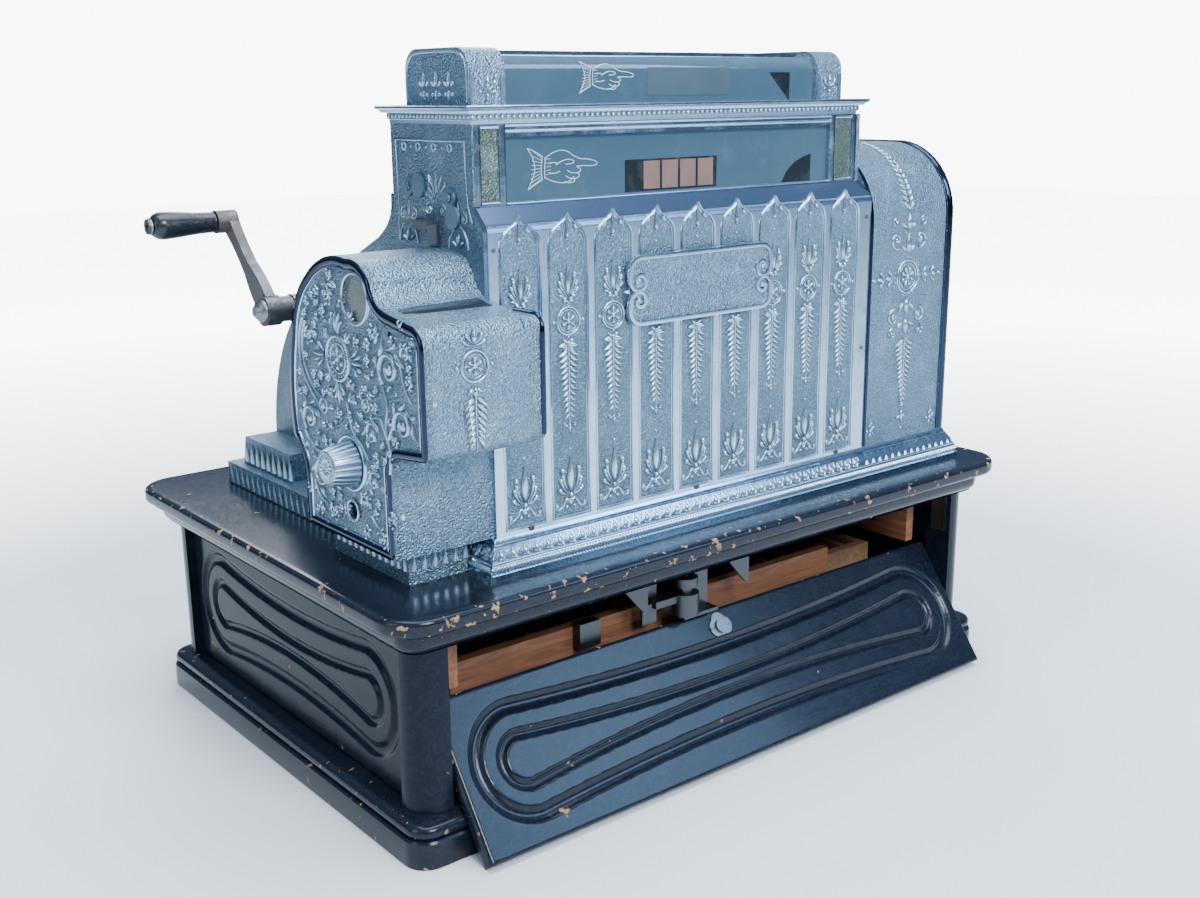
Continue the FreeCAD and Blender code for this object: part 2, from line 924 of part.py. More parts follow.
def make_front_panel():
    piece = Piece("front_panel")
    half = post_inside_x - S.panel_gap
    sketch = piece.front()
    rectangle(sketch, -half, half, nil, S.panel_height)
    circle(sketch, nil, S.panel_height - S.lock_drop, S.barrel_size)
    piece.pad(sketch, S.panel_thick)
    routed_loops(piece, lambda: piece.front(-S.panel_thick), nil, S.panel_height / 2,
                 half, S.groove_deep, False)
    lean(piece.body)


def make_lock():
    top = S.panel_height - S.lock_inset
    low = top - S.lock_height
    half = S.lock_width / 2
    slot_half = S.bolt_width / 2
    bolt_back = (S.lock_thick - S.bolt_thick) / 2
    case = Piece("panel_lock_case")
    sketch = case.front(S.lock_thick)
    rectangle(sketch, -half, half, low, top)
    case.pad(sketch, S.lock_thick)
    sketch = case.plan(top)
    rectangle(sketch, -slot_half - S.bolt_fit, slot_half + S.bolt_fit,
              bolt_back - S.bolt_fit, bolt_back + S.bolt_thick + S.bolt_fit)
    case.pocket(sketch, S.lock_height - S.bolt_thick)
    lean(case.body)
    bolt = block("bolt", -slot_half, slot_half, bolt_back, bolt_back + S.bolt_thick,
                 low + S.bolt_thick + S.side_play, top + S.side_play)
    head = keep(group("bolt_piece", bolt), "panel_lock_bolt")
    lean(head)


def make_escutcheon():
    """A three-lobed plate with the lock's round barrel in its middle."""
    piece = Piece("panel_escutcheon")
    up = S.panel_height - S.lock_drop
    lobe = S.lobe_size
    sketch = piece.front(-S.panel_thick)
    outline(sketch, [
        (lobe, up + lobe),
        (-lobe, up + lobe, lobe * 1.05),
        (-lobe, up - lobe, lobe * 1.1),
        (lobe, up - lobe),
        (lobe, up + lobe, lobe * 1.1),
    ][1:])
    piece.pad(sketch, S.screw_proud)
    sketch = piece.front(-S.panel_thick)
    circle(sketch, nil, up, S.barrel_size)
    piece.pad(sketch, S.screw_proud * 3)
    sketch = piece.front(-S.panel_thick)
    circle(sketch, nil, up, S.barrel_size - S.run_fit)
    piece.pad(sketch, S.panel_thick - S.lock_inset, True)
    lean(piece.body)


# Drawer

def make_drawer():
    floor = S.plinth_height + S.runner_thick + S.drawer_gap
    front_inside = half_case_depth - S.front_thick
    half = S.drawer_half
    wall = S.drawer_wall
    box = Piece("drawer_box")
    sketch = box.plan(floor)
    rectangle(sketch, -half, half, S.drawer_back, front_inside)
    box.pad(sketch, S.drawer_rim - floor)
    sketch = box.plan(S.drawer_rim)
    rectangle(sketch, wall - half, half - wall, S.drawer_back + wall, front_inside - wall)
    box.pocket(sketch, S.drawer_rim - floor - wall)
    rail_half = side_inside - S.runner_width + S.rail_grip
    for low, high in ((half, rail_half), (-rail_half, -half)):
        sketch = box.plan(floor)
        rectangle(sketch, low, high, S.drawer_back, front_inside)
        box.pad(sketch, S.runner_thick)

    front = Piece("drawer_front")
    half_front = post_inside_x - S.front_gap
    sketch = front.front(half_case_depth)
    low = S.plinth_height + S.front_gap
    high = case_top - S.front_gap
    rectangle(sketch, -half_front, half_front, low, high)
    front.pad(sketch, S.front_thick)
    routed_loops(front, lambda: front.front(half_case_depth), nil, (low + high) / 2,
                 half_front, S.groove_deep, True)

    till = Piece("drawer_till")
    fit = S.drawer_gap
    left = wall - half + fit
    right = half - wall - fit
    back = S.drawer_back + wall + fit
    face = front_inside - wall - fit
    sketch = till.plan(floor + wall)
    rectangle(sketch, left, right, back, face)
    till.pad(sketch, S.till_rim - floor - wall)
    clear = (right - left - S.till_wall * (S.till_bays + 1)) / S.till_bays
    for bay in range(round(S.till_bays)):
        start = left + S.till_wall + (clear + S.till_wall) * bay
        sketch = till.plan(S.till_rim)
        rectangle(sketch, start, start + clear, back + S.till_wall, face - S.till_wall)
        till.pocket(sketch, S.till_rim - floor - wall - S.till_wall)


# Nickel-plated cabinet

plinth_left = S.metal_left - S.plinth_lip - S.plinth_extra
plinth_back = S.lever_axis_along + S.quadrant + S.plinth_lip


def make_cabinet_plinth():
    """The moulded tray under the cabinet, sloping in to the walls that stand on it."""
    piece = Piece("cabinet_plinth")
    sketch = piece.plan(S.top_surface)
    rectangle(sketch, plinth_left, S.metal_right + S.plinth_lip,
              S.metal_front - S.plinth_lip, plinth_back)
    piece.pad(sketch, S.metal_plinth_top - S.top_surface)
    edges = edges_where(piece, level(float(S.metal_plinth_top)))
    piece.dress("Chamfer", edges, Size=S.plinth_slope_run, Size2=S.plinth_slope)
    sketch = piece.plan(S.metal_plinth_top)
    rectangle(sketch, S.metal_left + S.sheet_thick, S.metal_right - S.sheet_thick,
              S.metal_front + S.sheet_thick, plinth_back - S.plinth_lip - S.sheet_thick)
    piece.pocket(sketch, S.metal_plinth_top - S.top_surface - S.sheet_thick)


def make_side_plinths():
    step = Piece("left_plinth")
    sketch = step.plan(S.top_surface)
    rectangle(sketch, plinth_left - S.step_width, plinth_left, S.box_back, plinth_back)
    step.pad(sketch, S.step_height)
    sketch = step.front(plinth_back - S.bracket_width)
    step_top = S.top_surface + S.step_height
    bench_left = plinth_left - S.bench_width
    outline(sketch, [
        (bench_left, step_top),
        (plinth_left, step_top),
        (plinth_left, S.metal_plinth_top),
        (S.metal_left, S.metal_plinth_top),
        (S.metal_left, step_top + S.bench_height),
        (bench_left + S.iron_thick, step_top + S.bench_height),
    ])
    step.pad(sketch, S.bench_long)

    under = Piece("printer_plinth")
    sketch = under.plan(S.top_surface)
    rectangle(sketch, S.box_outer + S.step_height, plinth_left,
              S.box_front + S.bulge_round, S.box_back)
    under.pad(sketch, S.metal_plinth_top - S.top_surface)


# The two corners inside the shoulder, which the side plates follow
shoulder_inside = [
    (S.metal_front + S.sheet_thick, S.shoulder_spring - S.knee_inset / 2),
    (S.metal_front + S.sheet_thick + S.knee_inset, S.shoulder_spring + S.knee_rise - S.knee_step),
]


def make_front_casting():
    """The cast front: nine sunk strips with pointed heads between raised ribs."""
    piece = Piece("front_casting")
    inner = S.metal_front + S.sheet_thick
    knee_up = S.shoulder_spring + S.knee_rise
    sketch = piece.side(S.metal_left)
    outline(sketch, [
        (S.metal_front, S.metal_plinth_top),
        (inner, S.metal_plinth_top),
        (inner, shoulder_inside[0][1]),
        shoulder_inside[1],
        (S.house_front, S.shoulder_top),
        (S.house_front - S.knee_inset, S.shoulder_top),
        (S.metal_front + S.knee_inset, knee_up),
        (S.metal_front, S.shoulder_spring, S.knee_round),
    ])
    piece.pad(sketch, S.metal_seam - S.metal_left)
    for number in range(round(S.strip_count)):
        middle = S.strip_first + S.strip_pitch * number
        sketch = piece.front(S.metal_front)
        half = S.strip_half
        ogee_up = (S.strip_spring + S.strip_apex) / 2
        outline(sketch, [
            (middle - half, S.strip_foot),
            (middle + half, S.strip_foot),
            (middle + half, S.strip_spring - S.ogee_round / 2),
            (middle + half / 3, ogee_up, S.ogee_round),
            (middle, S.strip_apex, -S.ogee_round),
            (middle - half / 3, ogee_up, -S.ogee_round),
            (middle - half, S.strip_spring - S.ogee_round / 2, S.ogee_round),
        ])
        piece.pocket(sketch, S.strip_deep)


def make_cartouche():
    """The raised name plate, left bare, with a bite out of each end."""
    piece = Piece("blank_cartouche")
    half = S.name_width / 2
    rise = S.name_height / 2
    bite = S.name_corner
    middle = S.name_middle
    up = S.name_centre_up
    sketch = piece.front(S.metal_front)
    outline(sketch, [
        (middle - half + bite, up - rise),
        (middle + half - bite, up - rise),
        (middle + half, up - rise + bite, bite),
        (middle + half - bite / 2, up - bite / 2, bite),
        (middle + half - bite / 2, up + bite / 2, -bite),
        (middle + half, up + rise - bite, bite),
        (middle + half - bite, up + rise, bite),
        (middle - half + bite, up + rise),
        (middle - half, up + rise - bite, bite),
        (middle - half + bite / 2, up + bite / 2, bite),
        (middle - half + bite / 2, up - bite / 2, -bite),
        (middle - half, up - rise + bite, bite),
        (middle - half + bite, up - rise, bite),
    ][1:])
    piece.pad(sketch, S.name_thick)


def slope_point(radius):
    """Where the clerk's slope meets the quadrant, on a circle about the lever shaft."""
    return (S.lever_axis_along + radius * sine(S.slope_angle),
            S.lever_axis_up + radius * cosine(S.slope_angle))


def side_profile(sketch):
    """The cabinet's outline seen from the side: housing, slope and quadrant."""
    inner = S.metal_front + S.sheet_thick
    meet = slope_point(S.quadrant)
    rise = tangent(S.slope_angle)
    flare_along = S.house_back + S.foot_flare
    flare_up = meet[1] + (meet[0] - flare_along) * rise
    dip = S.lever_axis_up - S.metal_plinth_top
    low_along = S.lever_axis_along + S.quadrant - dip * dip / (S.quadrant * 2)
    outline(sketch, [
        (inner, S.metal_plinth_top),
        (low_along, S.metal_plinth_top),
        (meet[0], meet[1], S.quadrant),
        (flare_along, flare_up),
        (S.house_back, flare_up + S.foot_flare, -(S.foot_flare * 1.45)),
        (S.house_back, S.house_top),
        (S.house_front, S.house_top),
        (S.house_front, S.shoulder_top),
        shoulder_inside[1],
        shoulder_inside[0],
    ])


# Each cover's stud, then its disc, as places along and up
studs = [
    (S.house_back - S.stud_1_inset, S.house_top - S.stud_1_drop,
     S.house_back - S.disc_1_inset, S.house_top - S.disc_1_drop),
    (S.house_front + S.stud_2_inset, S.house_top - S.stud_2_drop,
     S.house_front + S.disc_2_inset, S.house_top - S.disc_2_drop),
]


def make_side_plates():
    left = Piece("side_plate_left")
    sketch = left.side(S.metal_left)
    side_profile(sketch)
    circle(sketch, S.crank_along, S.crank_up, S.crank_shaft + S.run_fit)
    circle(sketch, S.roller_along + S.side_hole_inset, S.crank_up - S.side_hole_drop,
           S.journal_size)
    left.pad(sketch, S.sheet_thick)
    proud = S.keyhole_thick + S.side_play * 2
    for along, up, _, _ in studs:
        sketch = left.side(S.metal_left)
        circle(sketch, along, up, S.stud_size)
        left.pad(sketch, proud, True)
        sketch = left.side(S.metal_left - proud)
        circle(sketch, along, up, S.stud_head)
        left.pad(sketch, S.screw_proud, True)
    right = Piece("side_plate_right")
    sketch = right.side(S.metal_seam - S.sheet_thick)
    side_profile(sketch)
    right.pad(sketch, S.sheet_thick)


def make_right_housing():
    """The round-topped housing on the right, a shell with its own end wall."""
    piece = Piece("right_housing")
    back = S.lever_axis_along + S.quadrant
    shell = S.cover_thick

    def profile(sketch, inset, low):
        front = S.metal_front + inset
        top = S.round_top - inset
        far = back - inset
        sweep = back - S.round_flat_end
        outline(sketch, [
            (front, low),
            (far, low),
            (far, top - (sweep - inset)),
            (S.round_flat_end, top, sweep - inset),
            (S.metal_front + S.round_front, top),
            (front, S.round_top - S.round_front, S.round_front - inset),
        ])

    sketch = piece.side(S.metal_seam)
    profile(sketch, nil, S.metal_plinth_top)
    piece.pad(sketch, S.metal_right - S.metal_seam)
    sketch = piece.side(S.metal_seam)
    profile(sketch, shell, S.metal_plinth_top + shell)
    piece.pocket(sketch, S.metal_right - S.metal_seam - shell, True)


# Indicator housing, cornice and dome

def make_indicator_frame():
    """Two end posts and a frieze round the window, on both faces of the housing."""
    left = S.metal_left + S.sheet_thick
    right = S.metal_seam - S.sheet_thick
    faces = [
        (S.house_front, S.house_front + S.frame_thick, S.shoulder_top),
        (S.house_back - S.frame_thick, S.house_back, S.house_top - S.back_face_tall),
    ]
    made = []
    for near, far, low in faces:
        wall = block("frame_wall", left, right, near, far, low, S.house_top)
        window = block("frame_window", S.metal_left + S.post_face,
                       S.metal_seam - S.right_post_face, near - 1, far + 1,
                       low + S.window_sill, S.window_top)
        made.append(without("frame_face", wall, window))
    lid = block("frame_lid", left, right, S.house_front + S.frame_thick,
                S.house_back - S.frame_thick, S.house_top - S.lid_thick, S.house_top)
    keep(joined("frame", made[0], made[1], lid), "indicator_frame")


def make_indicator_glass():
    left = S.metal_left + S.post_face - S.glass_lap
    right = S.metal_seam - S.right_post_face + S.glass_lap
    near = S.house_front + S.frame_thick
    far = S.house_back - S.frame_thick
    top = S.window_top + S.frame_thick
    front = block("front_pane", left, right, near, near + S.glass_thick, S.shoulder_top, top)
    back = block("back_pane", left, right, far - S.glass_thick, far,
                 S.house_top - S.back_face_tall, top)
    keep(group("panes", front, back), "indicator_glass")


def make_cornice():
    piece = Piece("cornice")
    sketch = piece.plan(S.house_top)
    lip = S.cornice_lip
    rectangle(sketch, S.metal_left - lip, S.metal_seam - S.sheet_thick + lip,
              S.house_front - lip, S.house_back + lip)
    piece.pad(sketch, S.cornice_thick)
    edges = edges_where(piece, level(float(S.house_top)))
    piece.dress("Chamfer", edges, Size=S.cornice_under)
    edges = edges_where(piece, level(float(S.house_top + S.cornice_thick)))
    piece.dress("Chamfer", edges, Size=S.screw_proud)


dome_foot = S.house_top + S.cornice_thick


def dome_profile(sketch, inset, low):
    """The loaf outline of the dome: upright sides, flat top and round shoulders."""
    front = S.dome_front + inset
    back = S.dome_back - inset
    top = dome_foot + S.dome_height - inset
    radius = S.dome_round - inset
    outline(sketch, [
        (front, low),
        (back, low),
        (back, top - radius),
        (back - radius, top, radius),
        (front + radius, top),
        (front, top - radius, radius),
    ])


def make_dome():
    glass_left = S.dome_left + S.dome_cap_long
    glass_right = S.dome_right - S.dome_cap_long
    for label, start in (("dome_cap_left", S.dome_left), ("dome_cap_right", glass_right)):
        cap = Piece(label)
        sketch = cap.side(start)
        dome_profile(sketch, nil, dome_foot)
        cap.pad(sketch, S.dome_cap_long)
    glass = Piece("dome_glass")
    inset = S.dome_inset + S.rail_thick
    sketch = glass.side(glass_left)
    dome_profile(sketch, inset, dome_foot)
    glass.pad(sketch, glass_right - glass_left)
    sketch = glass.side(glass_left - 1)
    dome_profile(sketch, inset + S.glass_thick, dome_foot - 1)
    glass.pocket(sketch, glass_right - glass_left + 2, True)
    rail_front = S.dome_front + S.dome_round
    rail_back = S.dome_back - S.dome_round
    top = dome_foot + S.dome_height - S.dome_inset
    keep(block("rail", glass_left, glass_right, rail_front, rail_back, top - S.rail_thick, top),
         "dome_rail")
    middle = (S.dome_front + S.dome_back) / 2
    keep(block("tablets", S.tablet_left, S.tablet_left + S.tablet_width,
               middle - S.tablet_thick / 2, middle + S.tablet_thick / 2, dome_foot,
               dome_foot + S.tablet_height - S.rail_thick), "upper_tablets")


# Clerk's side: slotted quadrant, levers and indicator wheels

def lever_middle(number):
    return S.lever_first + S.lever_pitch * number


def make_clerk_cover():
    """The slope and the slotted quadrant that closes the clerk's side."""
    piece = Piece("clerk_cover")
    outer = S.quadrant - S.cover_inset
    inner = outer - S.cover_thick
    rise = tangent(S.slope_angle)
    dip = S.lever_axis_up - S.metal_plinth_top
    top_outer = slope_point(outer)
    top_inner = slope_point(inner)
    sketch = piece.side(S.metal_left + S.sheet_thick)
    outline(sketch, [
        (S.lever_axis_along + inner - dip * dip / (inner * 2), S.metal_plinth_top),
        (S.lever_axis_along + outer - dip * dip / (outer * 2), S.metal_plinth_top),
        (top_outer[0], top_outer[1], outer),
        (S.house_back, top_outer[1] + (top_outer[0] - S.house_back) * rise),
        (S.house_back, top_inner[1] + (top_inner[0] - S.house_back) * rise),
        (top_inner[0], top_inner[1]),
        (S.lever_axis_along + inner - dip * dip / (inner * 2), S.metal_plinth_top, -inner),
    ][1:])
    piece.pad(sketch, S.metal_seam - S.metal_left - S.sheet_thick * 2)
    for number in range(round(S.lever_count)):
        sketch = piece.side(lever_middle(number) - S.slot_width / 2)
        slot_sector(sketch, inner - 3, outer + 3)
        piece.pocket(sketch, S.slot_width, True)


def slot_sector(sketch, inner, outer):
    """The part of a ring about the lever shaft between the slot's two ends."""
    def at(radius, angle):
        return (S.lever_axis_along + radius * cosine(angle),
                S.lever_axis_up + radius * sine(angle))
    outline(sketch, [
        at(inner, S.slot_low_angle),
        at(outer, S.slot_low_angle),
        (*at(outer, S.slot_high_angle), outer),
        at(inner, S.slot_high_angle),
        (*at(inner, S.slot_low_angle), -inner),
    ][1:])


def make_levers():
    left = S.metal_left + S.sheet_thick
    right = S.metal_seam - S.sheet_thick
    keep(rod("setting_shaft", S.lever_shaft, left, right, S.lever_axis_along, S.lever_axis_up),
         "lever_shaft")
    for number in range(round(S.lever_count)):
        half = S.lever_thick / 2
        tip = S.quadrant + S.lever_proud
        hub_half = half * 3
        knob_half = half * 4
        hub = rod("lever_hub", S.lever_hub, -hub_half, hub_half)
        blade = block("lever_blade", -half, half, -S.lever_width / 2, S.lever_width / 2,
                      nil, tip)
        knob = rod("lever_knob", S.lever_knob, -knob_half, knob_half, nil, tip)
        bore = rod("lever_bore", S.lever_shaft + S.run_fit, -knob_half, knob_half)
        solid = without("lever", joined("lever_solid", hub, blade, knob), bore)
        tilt(solid, S.lever_rest_angle - 90)
        place(solid, lever_middle(number), S.lever_axis_along, S.lever_axis_up)
        keep(solid, f"lever_{number + 1}")


wheel_faces = 10


def make_wheels():
    """Four wheels of ten flat faces, side by side on one shaft."""
    left = S.metal_left + S.sheet_thick
    right = S.metal_seam - S.sheet_thick
    keep(rod("drum_shaft", S.wheel_shaft, left, right, S.wheel_axis_along, S.wheel_axis_up),
         "indicator_shaft")
    for number in range(round(S.lever_count)):
        piece = Piece(f"indicator_wheel_{number + 1}")
        start = S.wheel_first + S.wheel_pitch * number - S.wheel_width / 2
        sketch = piece.side(start)
        corners = []
        for face in range(wheel_faces):
            angle = one * 360 / wheel_faces * (face + 0.5)
            corners.append((S.wheel_axis_along + S.wheel_size * cosine(angle),
                            S.wheel_axis_up + S.wheel_size * sine(angle)))
        outline(sketch, corners)
        circle(sketch, S.wheel_axis_along, S.wheel_axis_up, S.wheel_shaft + S.run_fit)
        piece.pad(sketch, S.wheel_width)


# Ticket printer

bush_up = S.metal_plinth_top + S.bush_rise
knob_up = bush_up + S.knob_rise


def printer_profile(sketch):
    """The printer's side outline: foot, bulge, hump and back."""
    low = S.metal_plinth_top
    front = S.box_front
    nose = S.bulge_front
    foot = S.bulge_foot
    top = S.bulge_top
    hump = S.hump_top
    back = S.box_back_mid
    outline(sketch, [
        (front, low),
        (S.box_back, low),
        (S.box_back, foot - S.swell_foot_drop),
        (back, foot - S.swell_top_drop, -S.swell_round),
        (back - S.back_inset, top - S.back_drop, S.back_round),
        (back - S.nape_inset, hump - S.nape_drop, S.nape_round),
        (S.window_along + S.hump_set, hump, S.hump_round),
        (S.window_along - S.brow_set, S.window_up + S.brow_rise, S.brow_round),
        (front - S.saddle_step, top + S.saddle_step, -S.saddle_round),
        (nose + S.bulge_round, top - S.nose_drop),
        (nose, top - S.nose_drop - S.bulge_round, S.bulge_round),
        (nose, foot + S.chin_round),
        (nose + S.chin_round, foot, S.chin_round),
        (front - S.chin_inset, foot - S.chin_drop),
        (front, foot - S.throat_drop, -S.throat_round),
    ])


def make_printer():
    plate = Piece("printer_plate")
    sketch = plate.side(S.box_outer)
    printer_profile(sketch)
    circle(sketch, S.window_along, S.window_up, S.window_size)
    circle(sketch, S.knob_along, knob_up, S.knob_stem + S.run_fit)
    circle(sketch, S.knob_along, bush_up, S.bush_size)
    circle(sketch, S.roller_along, S.roller_up, S.journal_size + S.run_fit)
    plate.pad(sketch, S.plate_thick)
    rings = [
        (S.window_up, S.window_along, S.window_size, S.window_rim),
        (bush_up, S.knob_along, S.bush_size, S.bush_rim),
    ]
    for up, along, size, rim in rings:
        sketch = plate.side(S.box_outer)
        circle(sketch, along, up, size + rim)
        circle(sketch, along, up, size)
        plate.pad(sketch, S.screw_proud, True)

    inside = S.box_outer + S.plate_thick
    cover = Piece("printer_cover")
    sketch = cover.side(inside)
    printer_profile(sketch)
    cover.pad(sketch, S.metal_left - inside)
    cover.hollow(S.box_shell)
    sketch = cover.side(S.metal_left - S.box_shell)
    rounded(sketch, S.bulge_front + S.bulge_inset, S.metal_front, S.bulge_foot + S.bulge_inset,
            S.bulge_top - S.bulge_end_drop, S.bulge_round / 2)
    cover.pad(sketch, S.bulge_end + S.box_shell)
    sketch = cover.side(S.metal_left - S.box_shell)
    circle(sketch, S.roller_along, S.roller_up, S.journal_size + S.run_fit)
    cover.pocket(sketch, S.box_shell, True)
    sketch = cover.plan(S.hump_top)
    rectangle(sketch, inside + S.slot_left_inset, S.metal_left - S.slot_right_inset,
              S.slot_along - S.slot_gap / 2, S.slot_along + S.slot_gap / 2)
    cover.pocket(sketch, S.hump_top - S.roller_up - S.roller_size - S.side_play * 2)

    pane = S.box_outer + S.pane_inset
    keep(rod("window_pane", S.window_size, pane, pane + S.pane_thick, S.window_along,
             S.window_up), "window_glass")


def make_feed_knob():
    """A fluted knob that narrows outwards, on a stem through the plate."""
    piece = Piece("feed_knob")
    near = S.box_outer - S.side_play
    turn = one * 180 / S.flute_count
    sections = []
    for across, share in ((near, one), (near - S.knob_long, S.knob_taper)):
        sketch = piece.side(across)
        corners = []
        for step in range(round(S.flute_count) * 2):
            radius = (S.knob_size - S.flute_deep * (step % 2)) * share
            corners.append((S.knob_along + radius * cosine(turn * step),
                            knob_up + radius * sine(turn * step)))
        outline(sketch, corners)
        sections.append(sketch)
    loft = piece.body.newObject("PartDesign::AdditiveLoft", "knob_flutes")
    loft.Profile = sections[0]
    loft.Sections = sections[1:]
    loft.Ruled = True
    piece.body.Tip = loft
    doc.recompute()
    sketch = piece.side(near)
    circle(sketch, S.knob_along, knob_up, S.knob_stem)
    piece.pad(sketch, S.plate_thick + S.side_play * 2)


def make_feed_roller():
    left = S.box_outer + S.plate_thick
    core = rod("roller_core", S.roller_size, left + S.box_shell + S.side_play,
               S.metal_left - S.box_shell - S.side_play, S.roller_along, S.roller_up)
    journal = rod("roller_journal", S.journal_size, S.box_outer + S.journal_inset,
                  S.metal_left - S.side_play, S.roller_along, S.roller_up)
    keep(joined("roller", core, journal), "feed_roller")


# Crank

def make_crank():
    along = S.crank_along
    up = S.crank_up
    sleeve = rod("sleeve_tube", S.sleeve_size, S.sleeve_end, S.metal_left, along, up)
    flange = rod("sleeve_flange", S.flange_size, S.metal_left - S.flange_thick, S.metal_left,
                 along, up)
    bore = rod("sleeve_bore", S.crank_shaft + S.run_fit, S.sleeve_end - 1, S.metal_left + 1,
               along, up)
    keep(without("sleeve", joined("sleeve_solid", sleeve, flange), bore), "crank_sleeve")

    hub_inner = S.sleeve_end - S.side_play - S.collar_long
    hub_outer = hub_inner - S.hub_long
    arm_outer = hub_inner - S.arm_set_back - S.arm_thick
    boss_outer = arm_outer - S.boss_long
    arm = Piece("crank_arm")
    sketch = arm.side(hub_outer)
    circle(sketch, nil, nil, S.hub_size)
    arm.pad(sketch, S.hub_long)
    sketch = arm.side(hub_inner)
    circle(sketch, nil, nil, S.sleeve_size - 1)
    arm.pad(sketch, S.collar_long)
    sketch = arm.side(hub_inner + S.collar_long)
    circle(sketch, nil, nil, S.crank_shaft)
    arm.pad(sketch, S.metal_left + S.sheet_thick + S.shaft_end - hub_inner - S.collar_long)
    root = S.hub_size - 2
    waist_up = S.arm_long * 0.45
    sketch = arm.side(arm_outer)
    outline(sketch, [
        (root, S.arm_end / 2),
        (S.arm_waist, waist_up, S.arm_sweep),
        (S.arm_end - 1, S.arm_long, -S.arm_sweep * 2),
        (1 - S.arm_end, S.arm_long),
        (-S.arm_waist, waist_up, -S.arm_sweep * 2),
        (-root, S.arm_end / 2, S.arm_sweep),
    ])
    arm.pad(sketch, S.arm_thick)
    sketch = arm.side(boss_outer)
    circle(sketch, nil, S.arm_long, S.arm_end)
    arm.pad(sketch, S.arm_thick + S.boss_long)
    grip_start = boss_outer - S.side_play
    grip_end = grip_start - S.grip_long
    sketch = arm.side(grip_end - S.side_play)
    circle(sketch, nil, S.arm_long, S.spindle_size)
    arm.pad(sketch, S.grip_long + S.side_play * 2)
    sketch = arm.side(grip_end - S.side_play)
    circle(sketch, nil, S.arm_long, S.spindle_head)
    arm.pad(sketch, S.spindle_cap, True)
    tilt(arm.body, -S.arm_tilt_angle)
    place(arm.body, 0, along, up)

    nut = rod("nut_body", S.nut_size, hub_outer - S.nut_long / 2, hub_outer, along, up)
    crown = doc.addObject("Part::Cone", "nut_crown")
    crown.Placement = FreeCAD.Placement(Vector(), FreeCAD.Rotation(Vector(0, 1, 0), -90))
    bind(crown, Radius1=S.nut_size, Radius2=S.nut_size / 2, Height=S.nut_long / 2)
    place(crown, hub_outer - S.nut_long / 2, along, up)
    keep(joined("nut", nut, crown), "crank_nut")

    grip = Piece("crank_grip")
    sketch = grip.front()
    bore = S.spindle_size + S.run_fit
    outline(sketch, [
        (grip_end, bore),
        (grip_start, bore),
        (grip_start, S.grip_waist),
        (grip_end + S.grip_shoulder, S.grip_size),
        (grip_end, S.grip_lip),
    ])
    made = grip.body.newObject("PartDesign::Revolution", "grip_turned")
    made.Profile = sketch
    axis = [part for part in grip.body.Origin.OriginFeatures if part.Role == "X_Axis"][0]
    made.ReferenceAxis = (axis, [""])
    grip.body.Tip = made
    place(grip.body, 0, along + S.arm_long * sine(S.arm_tilt_angle),
          up + S.arm_long * cosine(S.arm_tilt_angle))


# Small pieces of the left side face

def make_keyhole_covers():
    for number, (along, up, disc_along, disc_up) in enumerate(studs, 1):
        piece = Piece(f"keyhole_cover_{number}")
        face = S.metal_left - S.side_play - S.keyhole_thick
        sketch = piece.side(face)
        circle(sketch, disc_along, disc_up, S.keyhole_disc)
        piece.pad(sketch, S.keyhole_thick)
        sketch = piece.side(face)
        circle(sketch, along, up, S.cover_ear)
        piece.pad(sketch, S.keyhole_thick)
        sketch = piece.side(face)
        circle(sketch, along, up, S.stud_size + S.run_fit)
        piece.pocket(sketch, S.keyhole_thick, True)


def make_strap():
    """A bent strap screwed to the left side face above the printer."""
    low = S.hump_top + S.strap_rise
    top = low + S.strap_tall
    near = S.house_front + S.strap_inset
    face = S.metal_left - S.iron_thick
    leg = block("strap_leg", face, S.metal_left, near, near + S.strap_leg, low, top)
    arm = block("strap_arm", face, S.metal_left, near, near + S.strap_wide,
                top - S.strap_arm, top)
    lip = block("strap_lip", S.metal_left - S.strap_lip, S.metal_left, near,
                near + S.strap_wide, top - S.strap_lip_thick, top)
    keep(joined("strap", leg, arm, lip), "side_strap")


make_plinth()
make_bottom_board()
make_side("base_side_left", -1)
make_side("base_side_right", 1)
make_posts()
make_top_board()
make_runners()
make_liners()
make_inner_board()
make_base_irons()
make_catch()
make_catch_bracket()
make_front_panel()
make_lock()
make_escutcheon()
make_drawer()
make_cabinet_plinth()
make_side_plinths()
make_front_casting()
make_cartouche()
make_side_plates()
make_right_housing()
make_indicator_frame()
make_indicator_glass()
make_cornice()
make_dome()
make_clerk_cover()
make_levers()
make_wheels()
make_printer()
make_feed_knob()
make_feed_roller()
make_crank()
make_keyhole_covers()
make_strap()
doc.recompute()

# Every object must be sound before anything is written
for thing in doc.Objects:
    if "Invalid" in thing.State or "Error" in thing.State:
        raise RuntimeError(f"{thing.Name} failed: {thing.State}")
for thing in nodes:
    if thing.Shape.isNull() or not thing.Shape.isValid():
        raise RuntimeError(f"{thing.Label} has no sound shape")
os.makedirs("parts", exist_ok=True)
for thing in nodes:
    thing.Shape.exportStep(f"parts/{thing.Label}.step")
print(len(nodes), "sub-parts written")
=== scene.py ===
# %% [markdown]
# A ticket register: a nickel-plated cabinet full of cast ornament, on a chipped black wooden
# base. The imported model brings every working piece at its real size. This script gives each
# piece its finish, and adds the carving, beads, mouldings and worn wood around that frame.

# %% Load the fixed frame
import math
import random

import bmesh
import bpy
import numpy as np
from mathutils import Matrix, Vector
from mathutils.bvhtree import BVHTree


